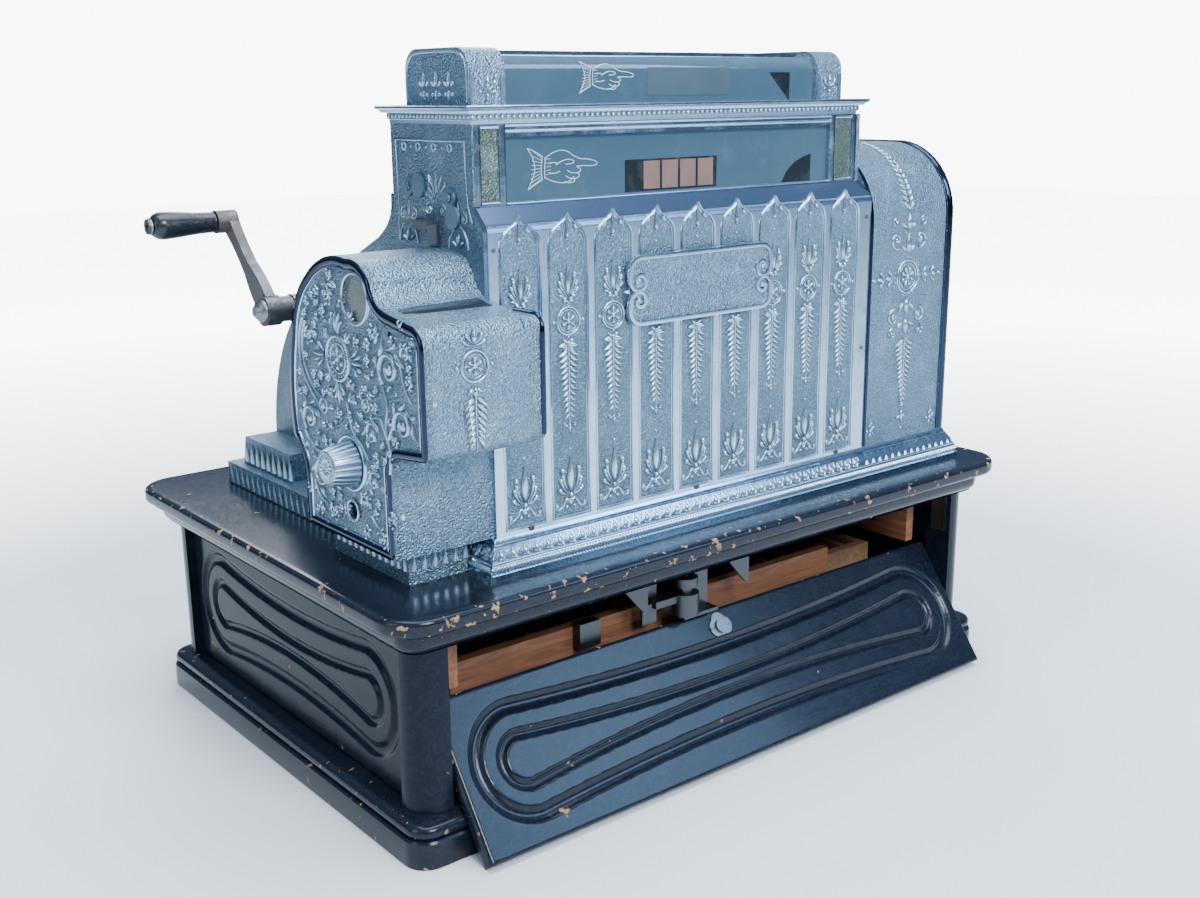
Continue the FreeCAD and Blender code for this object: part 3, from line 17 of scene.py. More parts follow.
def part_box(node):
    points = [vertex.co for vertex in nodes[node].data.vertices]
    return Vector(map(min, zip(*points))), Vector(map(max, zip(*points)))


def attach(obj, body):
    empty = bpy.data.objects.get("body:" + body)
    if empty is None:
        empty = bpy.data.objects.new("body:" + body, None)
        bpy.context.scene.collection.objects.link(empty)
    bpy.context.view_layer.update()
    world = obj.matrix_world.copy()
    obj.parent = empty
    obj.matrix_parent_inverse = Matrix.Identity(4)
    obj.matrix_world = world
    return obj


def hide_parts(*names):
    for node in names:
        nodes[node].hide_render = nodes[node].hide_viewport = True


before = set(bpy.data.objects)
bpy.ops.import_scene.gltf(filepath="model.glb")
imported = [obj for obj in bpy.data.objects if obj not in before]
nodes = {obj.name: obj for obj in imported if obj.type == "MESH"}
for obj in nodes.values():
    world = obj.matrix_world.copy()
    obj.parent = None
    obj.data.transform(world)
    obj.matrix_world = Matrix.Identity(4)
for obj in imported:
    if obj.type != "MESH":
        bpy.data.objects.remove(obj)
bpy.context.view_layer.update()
MM = 0.001
print(len(nodes), "pieces in the frame")


# %% Places that several pieces share, in millimetres
def span(node):
    """Lowest and highest corner of a piece, in millimetres."""
    low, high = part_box(node)
    return [value / MM for value in low], [value / MM for value in high]


cast_low = span("front_casting")[0]
drum_low, drum_high = span("right_housing")
top_low, top_high = span("base_top_board")
plate_low = span("printer_plate")[0]
cover_low = span("printer_cover")[0]
frame_low, frame_high = span("indicator_frame")
side_low = span("side_plate_left")[0]
tray_low, tray_high = span("cabinet_plinth")
name_low, name_high = span("blank_cartouche")

front_y = cast_low[1]
foot_z = cast_low[2]
strip_pitch = 44.6
strip_first = -204.2
strip_count = 9
print("front at", round(front_y, 1), "foot at", round(foot_z, 1))


# %% [markdown]
# The camera stands at the customer's left and looks down a little, as the photograph does.
# Its lens and place were fitted to the straight edges of the base and the cabinet.

# %% Camera, floor and soft light
def look(name, place, right, up):
    """A camera whose sides point along right and up."""
    side = Vector(right).normalized()
    back = side.cross(Vector(up)).normalized()
    head = back.cross(side)
    turn = Matrix((side, head, back)).transposed().to_4x4()
    data = bpy.data.cameras.new(name)
    camera = bpy.data.objects.new(name, data)
    bpy.context.scene.collection.objects.link(camera)
    camera.matrix_world = Matrix.Translation(Vector(place)) @ turn
    return camera


camera = look("camera", (-0.7949, -1.0144, 0.55896), (0.776, -0.631, -0.010), (0.167, 0.190, 0.967))
camera.data.sensor_width = 36
camera.data.lens = 41.22
camera.data.clip_start = 0.05
bpy.context.scene.camera = camera


def area_light(name, place, size, power, tint, aim=(0, 0, 0.3)):
    """A soft rectangular light that faces the middle of the register."""
    data = bpy.data.lights.new(name, "AREA")
    data.shape = "RECTANGLE"
    data.size, data.size_y = size
    data.energy = power
    data.color = tint
    lamp = bpy.data.objects.new(name, data)
    bpy.context.scene.collection.objects.link(lamp)
    direction = Vector(aim) - Vector(place)
    lamp.rotation_euler = direction.to_track_quat("-Z", "Y").to_euler()
    lamp.location = place


area_light("sky_light", (0.0, -0.3, 2.8), (2.4, 2.0), 130, (0.80, 0.91, 1.0))
area_light("key_light", (-0.3, -2.7, 2.1), (1.3, 1.1), 120, (0.92, 0.97, 1.0))
area_light("blue_light", (1.35, -2.0, 1.5), (0.9, 0.9), 26, (0.38, 0.64, 1.0))
area_light("left_light", (-2.7, -0.2, 1.2), (1.0, 1.4), 18, (0.75, 0.88, 1.0))
area_light("back_light", (1.2, 2.2, 1.9), (2.0, 1.2), 60, (0.95, 0.97, 1.0))


# %% [markdown]
# Several finishes share the same effects, so each effect is one node group: stipple for the
# pebbled castings, patches for stains and wear, scratches from wiping, grain for the wood. A
# group only gives masks, values and heights, and the shader itself stays in each material.

# %% Helpers for node trees
class NodeTree:
    """A node tree with short ways to add nodes. Values are sockets, numbers or colours."""

    def __init__(self, tree):
        self.tree = tree

    def feed(self, socket, value):
        """Gives a socket its source, its number or its colour."""
        if hasattr(value, "links"):
            self.tree.links.new(value, socket)
        else:
            socket.default_value = (*value, 1) if socket.type == "RGBA" else value

    def put(self, kind, *sources, **settings):
        """Adds a node. Sources feed its first inputs, and settings name options or inputs."""
        node = self.tree.nodes.new(kind)
        for key, value in settings.items():
            if hasattr(node, key):
                setattr(node, key, value)
            else:
                self.feed(node.inputs[key.replace("_", " ")], value)
        for socket, source in zip(node.inputs, sources):
            self.feed(socket, source)
        return node

    def calc(self, operation, *values, clamp=False):
        return self.put("ShaderNodeMath", *values, operation=operation, use_clamp=clamp).outputs[0]

    def plus(self, first, second):
        return self.calc("ADD", first, second)

    def minus(self, first, second):
        return self.calc("SUBTRACT", first, second)

    def times(self, first, second):
        return self.calc("MULTIPLY", first, second)

    def noise(self, vector, scale, detail, **more):
        node = self.put("ShaderNodeTexNoise", Vector=vector, Scale=scale, Detail=detail, **more)
        return node.outputs[0]

    def mixed(self, factor, first, second, blend="MIX"):
        """A colour mix."""
        node = self.put("ShaderNodeMix", data_type="RGBA", blend_type=blend)
        for place, value in ((0, factor), (6, first), (7, second)):
            self.feed(node.inputs[place], value)
        return node.outputs[2]

    def ramp(self, value, *stops):
        """A colour ramp through (place, grey or colour)."""
        node = self.put("ShaderNodeValToRGB", value)
        band = node.color_ramp
        while len(band.elements) < len(stops):
            band.elements.new(0.5)
        for element, (place, shade) in zip(band.elements, stops):
            element.position = place
            if isinstance(shade, (int, float)):
                shade = (shade, shade, shade)
            element.color = (*shade, 1)
        return node.outputs[0]


class Effect(NodeTree):
    """A shader node group. Inputs are {name: value}, where None stands for a plain vector."""

    def __init__(self, name, inputs, outputs):
        super().__init__(bpy.data.node_groups.new(name, "ShaderNodeTree"))
        sockets = self.tree.interface
        for label, value in inputs.items():
            kind = "NodeSocketFloat" if isinstance(value, float) else "NodeSocketVector"
            socket = sockets.new_socket(label, in_out="INPUT", socket_type=kind)
            if value is not None:
                socket.default_value = value
        for label in outputs:
            sockets.new_socket(label, in_out="OUTPUT", socket_type="NodeSocketFloat")
        self.given = self.tree.nodes.new("NodeGroupInput").outputs
        self.end = self.tree.nodes.new("NodeGroupOutput")

    def give(self, **values):
        """Feeds the group's outputs."""
        for label, value in values.items():
            self.feed(self.end.inputs[label], value)


# %% [markdown]
# The photograph's backdrop is burnt out to white, but nickel under a white sky would look like
# chalk. So only the camera's own rays see white, and every reflection meets a dim blue sky.

# %% A white backdrop for the camera, and a dim blue sky for everything else
world = bpy.data.worlds.new("studio")
bpy.context.scene.world = world
world.use_nodes = True
studio = NodeTree(world.node_tree)
backdrop = world.node_tree.nodes["Background"]
toward = studio.put("ShaderNodeSeparateXYZ",
                    studio.put("ShaderNodeTexCoord").outputs["Generated"]).outputs["Z"]
sky = studio.ramp(toward, (0.0, (0.05, 0.07, 0.10)), (0.25, (0.13, 0.21, 0.34)),
                  (1.0, (0.55, 0.75, 1.0)))
seen = studio.put("ShaderNodeLightPath").outputs["Is Camera Ray"]
studio.feed(backdrop.inputs["Color"], studio.mixed(seen, sky, (9.0, 9.0, 9.0)))
backdrop.inputs["Strength"].default_value = 1.0


# %% The stipple group: close round pebbles struck into a cast ground, with painted glints and shade
def stipple_group():
    group = Effect("stipple", {"Vector": None, "Grain": 900.0, "Unevenness": 0.5}, ("Height", "Sparkle"))
    given = group.given
    cells = group.put("ShaderNodeTexVoronoi", feature="SMOOTH_F1", Vector=given["Vector"],
                      Scale=given["Grain"])
    coarse = group.noise(given["Vector"], 430.0, 4.0)
    domes = group.minus(1.0, cells.outputs["Distance"])
    # The second output is painted light: high on each pebble's top as a painted glint, low in the gaps
    # between pebbles as painted shade.
    group.give(Height=group.plus(domes, group.times(coarse, given["Unevenness"])),
               Sparkle=group.times(coarse, domes))
    return group.tree


# %% The patches group: stains with a hard or soft edge
def patches_group():
    group = Effect("patches", {"Vector": None, "Size": 8.0, "Amount": 0.5, "Softness": 0.1}, ("Mask",))
    given = group.given
    noise = group.noise(given["Vector"], given["Size"], 8.0, Roughness=0.62)
    over = group.minus(noise, group.minus(1.0, given["Amount"]))
    group.give(Mask=group.calc("DIVIDE", over, given["Softness"], clamp=True))
    return group.tree


# %% The scratches group: fine lines from wiping and handling
def scratches_group():
    group = Effect("scratches", {"Vector": None, "Fineness": 60.0}, ("Lines",))
    given = group.given
    bent = group.noise(given["Vector"], 6.0, 2.0).node.outputs["Color"]
    stretch = group.put("ShaderNodeMapping", Vector=given["Vector"], Scale=(0.12, 1.0, 1.4),
                        Rotation=(0.2, 0.5, 0.3)).outputs[0]
    wobble = group.put("ShaderNodeVectorMath", stretch, bent, operation="ADD").outputs[0]
    lines = group.noise(wobble, given["Fineness"], 6.0, Roughness=0.8)
    group.give(Lines=group.ramp(lines, (0.49, 0), (0.5, 1), (0.51, 0)))
    return group.tree


STIPPLE = stipple_group()
PATCHES = patches_group()
SCRATCHES = scratches_group()


# %% [markdown]
# Every material starts from the same three nodes: Object coordinates, a shader and an output.
# A node's own place is in its mesh, so Object coordinates are metres on the real register.

# %% Starting a material
class Finish(NodeTree):
    """A material in the making, with its shader and its Object coordinates."""

    def __init__(self, name):
        self.material = bpy.data.materials.new(name)
        self.material.use_nodes = True
        super().__init__(self.material.node_tree)
        self.shader = self.tree.nodes["Principled BSDF"]
        self.where = self.put("ShaderNodeTexCoord").outputs["Object"]

    def effect(self, group, **values):
        """Places a shared effect with its own values."""
        node = self.put("ShaderNodeGroup", node_tree=group)
        self.feed(node.inputs["Vector"], self.where)
        for name, value in values.items():
            node.inputs[name].default_value = value
        return node.outputs

    def patches(self, size, amount, softness):
        return self.effect(PATCHES, Size=size, Amount=amount, Softness=softness)["Mask"]

    def scratches(self, fineness):
        return self.effect(SCRATCHES, Fineness=fineness)["Lines"]

    def axis(self, which):
        """The X, Y or Z coordinate."""
        return self.put("ShaderNodeSeparateXYZ", self.where).outputs[which]

    def attribute(self, name):
        return self.put("ShaderNodeAttribute", attribute_name=name).outputs["Fac"]

    def surface(self, **values):
        """Feeds the shader. Base_Color stands for its input Base Color, and so on."""
        for name, value in values.items():
            self.feed(self.shader.inputs[name.replace("_", " ")], value)

    def bump(self, height, distance, strength):
        node = self.put("ShaderNodeBump", Height=height, Distance=distance, Strength=strength)
        self.surface(Normal=node.outputs[0])


# %% [markdown]
# Old nickel plate is a bluish silver. On the pebbled grounds it has gone a little green and
# dull where polish can't reach, and the raised work is rubbed bright. The carving meshes hold
# an attribute called rise, 0 at the foot of each leaf and 1 on its crest, which drives that,
# along with painted light: painted shade darkens each foot where it meets the ground, and a
# painted highlight lightens each crest.

# %% Nickel: pebbled ground, bright fillets and carving
NICKEL = (0.25, 0.38, 0.50)
NICKEL_PALE = (0.46, 0.60, 0.73)
VERDIGRIS = (0.12, 0.21, 0.18)
TARNISH = (0.07, 0.11, 0.17)


def pebbled_nickel(name, ground=NICKEL, stain=VERDIGRIS, amount=0.42, grain=760.0):
    skin = Finish(name)
    pebbles = skin.effect(STIPPLE, Grain=grain, Unevenness=0.6)
    green = skin.patches(9.0, amount, 0.25)
    dull = skin.patches(38.0, 0.5, 0.4)
    colour = skin.mixed(skin.times(green, 0.45), skin.mixed(dull, ground, NICKEL_PALE), stain)
    # Painted glint and shade: the colour is darkened in the gaps between pebbles and kept full on their
    # tops.
    painted_light = skin.ramp(pebbles["Sparkle"], (0.2, 0.45), (0.55, 1.0))
    skin.surface(Base_Color=skin.mixed(0.8, colour, painted_light, "MULTIPLY"), Metallic=0.88,
                 Roughness=skin.ramp(dull, (0.0, 0.30), (1.0, 0.44)))
    skin.bump(pebbles["Height"], 0.0017, 0.8)
    return skin.material


def bright_nickel(name, colour=NICKEL_PALE, rough=0.16):
    skin = Finish(name)
    lines = skin.scratches(70.0)
    smears = skin.patches(26.0, 0.5, 0.35)
    tint = skin.mixed(smears, colour, TARNISH)
    soft = skin.plus(skin.times(smears, 0.22), rough)
    skin.surface(Base_Color=skin.mixed(skin.times(smears, 0.3), colour, tint), Metallic=1.0,
                 Roughness=skin.plus(soft, skin.times(lines, 0.12)))
    skin.bump(skin.noise(skin.where, 45.0, 3.0), 0.0007, 0.35)
    return skin.material


def carved_nickel(name):
    skin = Finish(name)
    rise = skin.attribute("rise")
    # Rise sets the colour: dark at the foot for patina and painted shade, pale on the crest for rubbing
    # and a painted highlight.
    shade = skin.ramp(rise, (0.0, (0.03, 0.06, 0.06)), (0.35, (0.17, 0.26, 0.34)),
                      (0.9, (0.50, 0.64, 0.76)))
    cloud = skin.patches(30.0, 0.5, 0.3)
    skin.surface(Base_Color=skin.mixed(skin.times(cloud, 0.3), shade, VERDIGRIS), Metallic=0.92,
                 Roughness=skin.ramp(rise, (0.0, 0.60), (0.7, 0.22)))
    skin.bump(skin.noise(skin.where, 900.0, 2.0), 0.0003, 0.5)
    return skin.material


def two_level_nickel(name, ground_level, shoulder_level, reach=0.0004):
    """Pebbled where the casting is sunk, polished elsewhere, and darker on its shoulder."""
    skin = Finish(name)
    off = skin.calc("ABSOLUTE", skin.minus(skin.axis("Y"), ground_level))
    sunk = skin.calc("LESS_THAN", off, reach)
    pebbles = skin.effect(STIPPLE, Grain=760.0, Unevenness=0.6)
    green = skin.patches(11.0, 0.5, 0.25)
    smears = skin.patches(30.0, 0.5, 0.35)
    bright = skin.mixed(smears, NICKEL_PALE, (0.22, 0.32, 0.48))
    above = skin.minus(skin.axis("Z"), shoulder_level)
    shoulder = skin.calc("DIVIDE", above, 0.002, clamp=True)
    bright = skin.mixed(skin.times(shoulder, 0.85), bright, (0.07, 0.11, 0.22))
    dull = skin.mixed(skin.times(green, 0.5), skin.mixed(smears, NICKEL, (0.38, 0.51, 0.62)), VERDIGRIS)
    # Painted glint and shade: the colour is darkened in the gaps between pebbles and kept full on their
    # tops.
    painted_light = skin.ramp(pebbles["Sparkle"], (0.22, 0.42), (0.55, 1.0))
    lit = skin.mixed(0.85, dull, painted_light, "MULTIPLY")
    soft = skin.plus(skin.times(smears, 0.1), 0.2)
    skin.surface(Base_Color=skin.mixed(sunk, bright, lit), Metallic=0.92,
                 Roughness=skin.plus(soft, skin.times(sunk, 0.24)))
    skin.bump(skin.times(pebbles["Height"], sunk), 0.0017, 0.85)
    return skin.material


CAST_FRONT = two_level_nickel("cast_front_nickel", (front_y + 1.5) * MM, 0.459)
PEBBLED = pebbled_nickel("pebbled_nickel")
GREEN_PEBBLED = pebbled_nickel("green_pebbled_nickel", (0.16, 0.21, 0.18), (0.11, 0.16, 0.09),
                               0.6, 700.0)
# A darker copy of the pebbled nickel: painted shade for the printer's plate and the housing's left wall,
# which face away from the light.
PAINTED_SHADE_PEBBLED = pebbled_nickel("shaded_pebbled_nickel", (0.20, 0.30, 0.39), (0.13, 0.21, 0.17), 0.5)
SATIN = bright_nickel("satin_nickel", (0.26, 0.37, 0.48), 0.32)
BRIGHT = bright_nickel("bright_nickel")
RIM_BLUE = bright_nickel("dark_bright_nickel", (0.030, 0.042, 0.075), 0.10)
CARVED = carved_nickel("carved_nickel")
print("nickel finishes ready")

# %% [markdown]
# Bright parts that face up or are rubbed by hands are clean. The glass is painted grey blue
# from behind, so it hides the works and only a window is left clear in the middle.

# %% Steel, ebonite, glass and tablets
def worn_steel(name, clean=(0.20, 0.21, 0.23), rust=(0.12, 0.06, 0.03), amount=0.5):
    skin = Finish(name)
    part = skin.times(skin.patches(55.0, amount, 0.12), skin.patches(14.0, amount, 0.3))
    skin.surface(Base_Color=skin.mixed(part, clean, rust),
                 Roughness=skin.ramp(part, (0, 0.34), (1, 0.8)),
                 Metallic=skin.ramp(part, (0, 0.95), (1, 0.25)))
    skin.bump(skin.noise(skin.where, 420.0, 5.0), 0.0006, 0.5)
    return skin.material


def ebonite(name):
    skin = Finish(name)
    lines = skin.scratches(120.0)
    handled = skin.patches(40.0, 0.5, 0.4)
    skin.surface(Base_Color=skin.mixed(lines, (0.005, 0.007, 0.012), (0.02, 0.024, 0.032)),
                 Roughness=skin.ramp(handled, (0, 0.22), (1, 0.42)))
    skin.bump(lines, 0.0002, 0.3)
    return skin.material


def painted_glass(name):
    """Grey-blue paint seen through glass, thinner and paler in clouds."""
    skin = Finish(name)
    clouds = skin.patches(5.0, 0.5, 0.5)
    fine = skin.patches(60.0, 0.45, 0.2)
    base = skin.mixed(clouds, (0.050, 0.095, 0.135), (0.095, 0.165, 0.205))
    skin.surface(Base_Color=skin.mixed(skin.times(fine, 0.25), base, (0.13, 0.20, 0.24)),
                 Roughness=skin.ramp(fine, (0, 0.10), (1, 0.24)), Coat_Weight=0.8, Coat_Roughness=0.05)
    return skin.material


def two_tones(name, stains, clean, stained, smooth, rough):
    """One field of stains (size, amount, softness) sets both the colour and the roughness."""
    skin = Finish(name)
    mask = skin.patches(*stains)
    skin.surface(Base_Color=skin.mixed(mask, clean, stained),
                 Roughness=skin.ramp(mask, (0, smooth), (1, rough)))
    return skin


def clear_glass(name):
    skin = two_tones(name, (30.0, 0.4, 0.4), (0.80, 0.84, 0.78), (0.62, 0.62, 0.50), 0.04, 0.22)
    skin.surface(Transmission_Weight=0.9, IOR=1.45)
    return skin.material


def tablet_paint(name, paper=(0.19, 0.11, 0.085), soiled=(0.10, 0.062, 0.05)):
    skin = two_tones(name, (24.0, 0.5, 0.35), paper, soiled, 0.5, 0.75)
    skin.bump(skin.noise(skin.where, 700.0, 3.0), 0.0002, 0.4)
    return skin.material


# Near black for painted shade: the dim inside seen through the windows and in the ticket slot.
PAINTED_SHADE = two_tones("dark_gap", (40.0, 0.5, 0.3), (0.012, 0.016, 0.02), (0.04, 0.05, 0.06), 0.15,
                 0.4).material
STEEL = worn_steel("worn_steel")
RUSTY = worn_steel("rusty_steel", (0.13, 0.125, 0.13), (0.085, 0.045, 0.028), 0.64)
IRON = worn_steel("dark_iron", (0.07, 0.075, 0.08), (0.09, 0.045, 0.025), 0.5)
EBONITE = ebonite("ebonite")
PAINTED = painted_glass("painted_glass")
CLEAR = clear_glass("clear_glass")
LINE_WHITE = two_tones("white_line", (130.0, 0.4, 0.2), (0.50, 0.60, 0.66), (0.24, 0.32, 0.37),
                       0.4, 0.6).material
TABLET = tablet_paint("tablet_paint")
print("steel, ebonite, glass and tablets ready")


# %% [markdown]
# The base is ebonised: a black stain under a glossy varnish. A century of knocks has chipped
# it down to pale wood along every edge. Boards made here carry an attribute called wear, 1 on
# an edge and 0 away from it, so that the chips gather where knocks land.

# %% Ebonised wood, and the bare wood inside
def grain_group():
    group = Effect("wood_grain", {"Vector": None, "Stretch": (1, 14, 14), "Fineness": 9.0},
                   ("Rings", "Pores"))
    given = group.given
    along = group.put("ShaderNodeVectorMath", given["Vector"], given["Stretch"],
                      operation="MULTIPLY").outputs[0]
    slow = group.noise(along, given["Fineness"], 4.0, Distortion=0.6)
    finer = group.times(given["Fineness"], 9.0)
    group.give(Rings=group.ramp(slow, (0.3, 0), (0.42, 0.8), (0.5, 0.2), (0.6, 1), (0.7, 0.1)),
               Pores=group.noise(along, finer, 6.0, Roughness=0.7))
    return group.tree


GRAIN = grain_group()
ALONG_X, ALONG_Y = (1, 14, 14), (14, 1, 14)
BARE_TAN = (0.24, 0.12, 0.05)
BARE_PALE = (0.42, 0.27, 0.14)


def ebonised_wood(name, stretch=ALONG_X, gloss_level=0.2):
    """Black varnished wood whose chips follow the attribute wear."""
    skin = Finish(name)
    grain = skin.effect(GRAIN, Fineness=7.0, Stretch=stretch)
    spots = skin.times(skin.patches(62.0, 0.33, 0.03), skin.patches(17.0, 0.5, 0.06))
    wear = skin.attribute("wear")
    near_edge = skin.plus(skin.noise(skin.where, 130.0, 7.0), skin.times(wear, 0.17))
    knocked = skin.calc("DIVIDE", skin.minus(near_edge, 0.79), 0.015, clamp=True)
    knocked = skin.times(knocked, skin.calc("GREATER_THAN", wear, 0.05))
    bare = skin.calc("MAXIMUM", knocked, spots)
    film = skin.patches(6.0, 0.42, 0.35)
    dusty = skin.plus(skin.times(film, 0.07), skin.times(skin.scratches(26.0), 0.08))
    black = skin.mixed(grain["Pores"], (0.002, 0.003, 0.007), (0.010, 0.014, 0.026))
    black = skin.mixed(dusty, black, (0.22, 0.27, 0.35))
    tan = skin.mixed(grain["Rings"], BARE_TAN, BARE_PALE)
    dull = skin.plus(skin.times(film, 0.16), 0.12)
    coat = gloss_level * 0.6
    skin.surface(Base_Color=skin.mixed(bare, black, tan),
                 Roughness=skin.plus(skin.times(bare, 0.5), dull),
                 Coat_Weight=skin.minus(coat, skin.times(bare, coat)), Coat_Roughness=0.08,
                 Specular_IOR_Level=gloss_level)
    skin.bump(skin.minus(skin.times(grain["Pores"], 0.35), bare), 0.0005, 0.7)
    return skin.material


def bare_wood(name, stretch=ALONG_X, light=(0.26, 0.10, 0.04), deep=(0.13, 0.045, 0.02)):
    skin = Finish(name)
    grain = skin.effect(GRAIN, Fineness=8.0, Stretch=stretch)
    soil = skin.times(skin.patches(7.0, 0.5, 0.3), 0.45)
    tone = skin.mixed(grain["Rings"], light, deep)
    skin.surface(Base_Color=skin.mixed(soil, tone, (0.09, 0.055, 0.035)),
                 Roughness=skin.ramp(grain["Pores"], (0, 0.5), (1, 0.85)))
    skin.bump(grain["Pores"], 0.0006, 0.6)
    return skin.material


EBONISED = ebonised_wood("ebonised_wood")
EBONISED_SIDE = ebonised_wood("ebonised_side_wood", ALONG_Y, 0.09)
RED_WOOD = bare_wood("bare_cherry_wood")
RED_WOOD_SIDE = bare_wood("bare_side_wood", ALONG_Y)
PALE_WOOD = bare_wood("bare_drawer_wood", ALONG_Y, (0.27, 0.15, 0.07), (0.16, 0.08, 0.04))
print("wood finishes ready")


# %% [markdown]
# Points are written in millimetres, as on the drawing, and become metres in one place.

# %% Making a piece from points
def dress(obj, slot, body="root", stands_for=()):
    """Hands a finished object to the frame: its body and the node it replaces. The slot is not used."""
    if stands_for:
        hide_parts(*stands_for)
    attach(obj, body)
    return obj


def plain_object(name, points, faces, material, values=None, sharp=38):
    """A mesh object with its faces turned outwards. Points are in millimetres."""
    mesh = bpy.data.meshes.new(name)
    mesh.from_pydata([tuple(value * MM for value in point) for point in points], [], faces)
    shell = bmesh.new()
    shell.from_mesh(mesh)
    bmesh.ops.recalc_face_normals(shell, faces=shell.faces)
    shell.to_mesh(mesh)
    shell.free()
    for label, numbers in (values or {}).items():
        layer = mesh.attributes.new(label, "FLOAT", "POINT")
        layer.data.foreach_set("value", np.asarray(numbers, dtype=np.float32))
    mesh.shade_smooth()
    mesh.set_sharp_from_angle(angle=math.radians(sharp))
    mesh.materials.append(material)
    obj = bpy.data.objects.new(name, mesh)
    bpy.context.scene.collection.objects.link(obj)
    return obj


def make_piece(name, points, faces, material, slot, body="root", stands_for=(), **more):
    return dress(plain_object(name, points, faces, material, **more), slot, body, stands_for)


def skin_over(loops, count, first=0, capped=True, joined=False):
    """Faces that join equal loops of points, with caps or with the last joined to the first."""
    faces = []
    for loop in range(loops if joined else loops - 1):
        here, after = first + loop * count, first + (loop + 1) % loops * count
        for number in range(count):
            beside = (number + 1) % count
            faces.append((here + number, here + beside, after + beside, after + number))
    if capped:
        last = first + (loops - 1) * count
        faces += [tuple(range(first, first + count)), tuple(range(last, last + count))]
    return faces


def around(across, up, radius, angle):
    """The point at an angle, in radians, on a circle."""
    return across + radius * math.cos(angle), up + radius * math.sin(angle)


# %% [markdown]
# The register stands on a pale ground with no horizon. The floor here is grey near the wood,
# where it has to hold a shadow, and glows towards white further out, for the camera's rays only.

# %% The floor
def pale_floor(half=6.0):
    skin = Finish("pale_floor")
    cloud = skin.patches(1.2, 0.5, 0.6)
    far = skin.put("ShaderNodeVectorMath", skin.where, operation="LENGTH").outputs["Value"]
    glow = skin.calc("DIVIDE", skin.minus(far, 0.7), 1.6, clamp=True)
    seen = skin.put("ShaderNodeLightPath").outputs["Is Camera Ray"]
    skin.surface(Base_Color=skin.mixed(cloud, (0.80, 0.81, 0.82), (0.77, 0.78, 0.80)), Roughness=0.7,
                 Emission_Color=(1, 1, 1), Emission_Strength=skin.times(skin.times(glow, seen), 7.5))
    mesh = bpy.data.meshes.new("floor")
    corners = [(-half, -half, 0), (half, -half, 0), (half, half, 0), (-half, half, 0)]
    mesh.from_pydata(corners, [], [(0, 1, 2, 3)])
    mesh.materials.append(skin.material)
    floor = bpy.data.objects.new("floor", mesh)
    bpy.context.scene.collection.objects.link(floor)


pale_floor()


# %% [markdown]
# The frame's own pieces that already have the right shape keep it and only change finish.
# Those whose edges want rounding or carving are replaced or dressed further on.

# %% Finishes of the frame's pieces
def paint(material, *names):
    for name in names:
        for slot in nodes[name].material_slots:
            slot.material = material


paint(CAST_FRONT, "front_casting")
paint(PEBBLED, "blank_cartouche", "right_housing", "printer_cover", "clerk_cover", "side_plate_right",
      "dome_cap_left", "dome_cap_right", "left_plinth", "printer_plinth")
# The left-facing plates take the darker copy, as painted shade.
paint(PAINTED_SHADE_PEBBLED, "printer_plate", "side_plate_left")
paint(BRIGHT, "indicator_frame", "cornice", "cabinet_plinth", "dome_rail", "feed_knob",
      "lever_1", "lever_2", "lever_3", "lever_4")
paint(SATIN, "keyhole_cover_1", "keyhole_cover_2")
paint(IRON, "base_irons", "drawer_catch", "catch_bracket", "panel_lock_case", "feed_roller")
paint(STEEL, "panel_escutcheon", "panel_lock_bolt", "side_strap", "crank_nut", "crank_sleeve",
      "lever_shaft", "indicator_shaft")
paint(RUSTY, "crank_arm")
paint(EBONITE, "crank_grip")
paint(PAINTED, "indicator_glass", "dome_glass")
paint(CLEAR, "window_glass")
paint(TABLET, "indicator_wheel_1", "indicator_wheel_2", "indicator_wheel_3",
      "indicator_wheel_4", "upper_tablets")
paint(EBONISED, "base_top_board", "front_panel", "drawer_front", "base_plinth")
paint(EBONISED_SIDE, "base_side_left", "base_side_right", "corner_posts")
paint(RED_WOOD, "inner_board", "base_bottom_board")
paint(RED_WOOD_SIDE, "upper_liners", "drawer_runners")
paint(PALE_WOOD, "drawer_box", "drawer_till")


# %% [markdown]
# The ornament is cast in low relief. Every leaf, scroll and ring is one closed stroke with a
# rounded back, drawn on a flat sheet as across, up and height. A small kit draws these
# strokes, and a mapping then lays the sheet on a wall or bends it round the housing's top.

# %% The carving kit: strokes and beads
ROUND_BACK = ((-1.0, 0.0), (-0.62, 0.72), (0.0, 1.0), (0.62, 0.72), (1.0, 0.0))
FLAT_BACK = ((-1.0, 0.0), (-0.86, 0.9), (0.0, 1.0), (0.86, 0.9), (1.0, 0.0))
SUNK = 0.5


def flowing(points, steps=6):
    """A smooth path through all the points."""
    ends = [points[0], *points, points[-1]]
    path = []
    for a, b, c, d in zip(ends, ends[1:], ends[2:], ends[3:]):
        for number in range(steps):
            t = number / steps
            path.append(tuple(
                0.5 * (2 * b[i] + (c[i] - a[i]) * t + (2 * a[i] - 5 * b[i] + 4 * c[i] - d[i])
                       * t * t + (3 * b[i] - a[i] - 3 * c[i] + d[i]) * t ** 3)
                for i in (0, 1)))
    path.append(tuple(points[-1]))
    return path


def spiral(across, up, outer, inner, start, sweep, steps=18):
    """Points that wind from the outer to the inner radius. Angles are in degrees."""
    path = []
    for number in range(steps + 1):
        t = number / steps
        radius = outer + (inner - outer) * t ** 0.85
        path.append(around(across, up, radius, math.radians(start + sweep * t)))
    return path


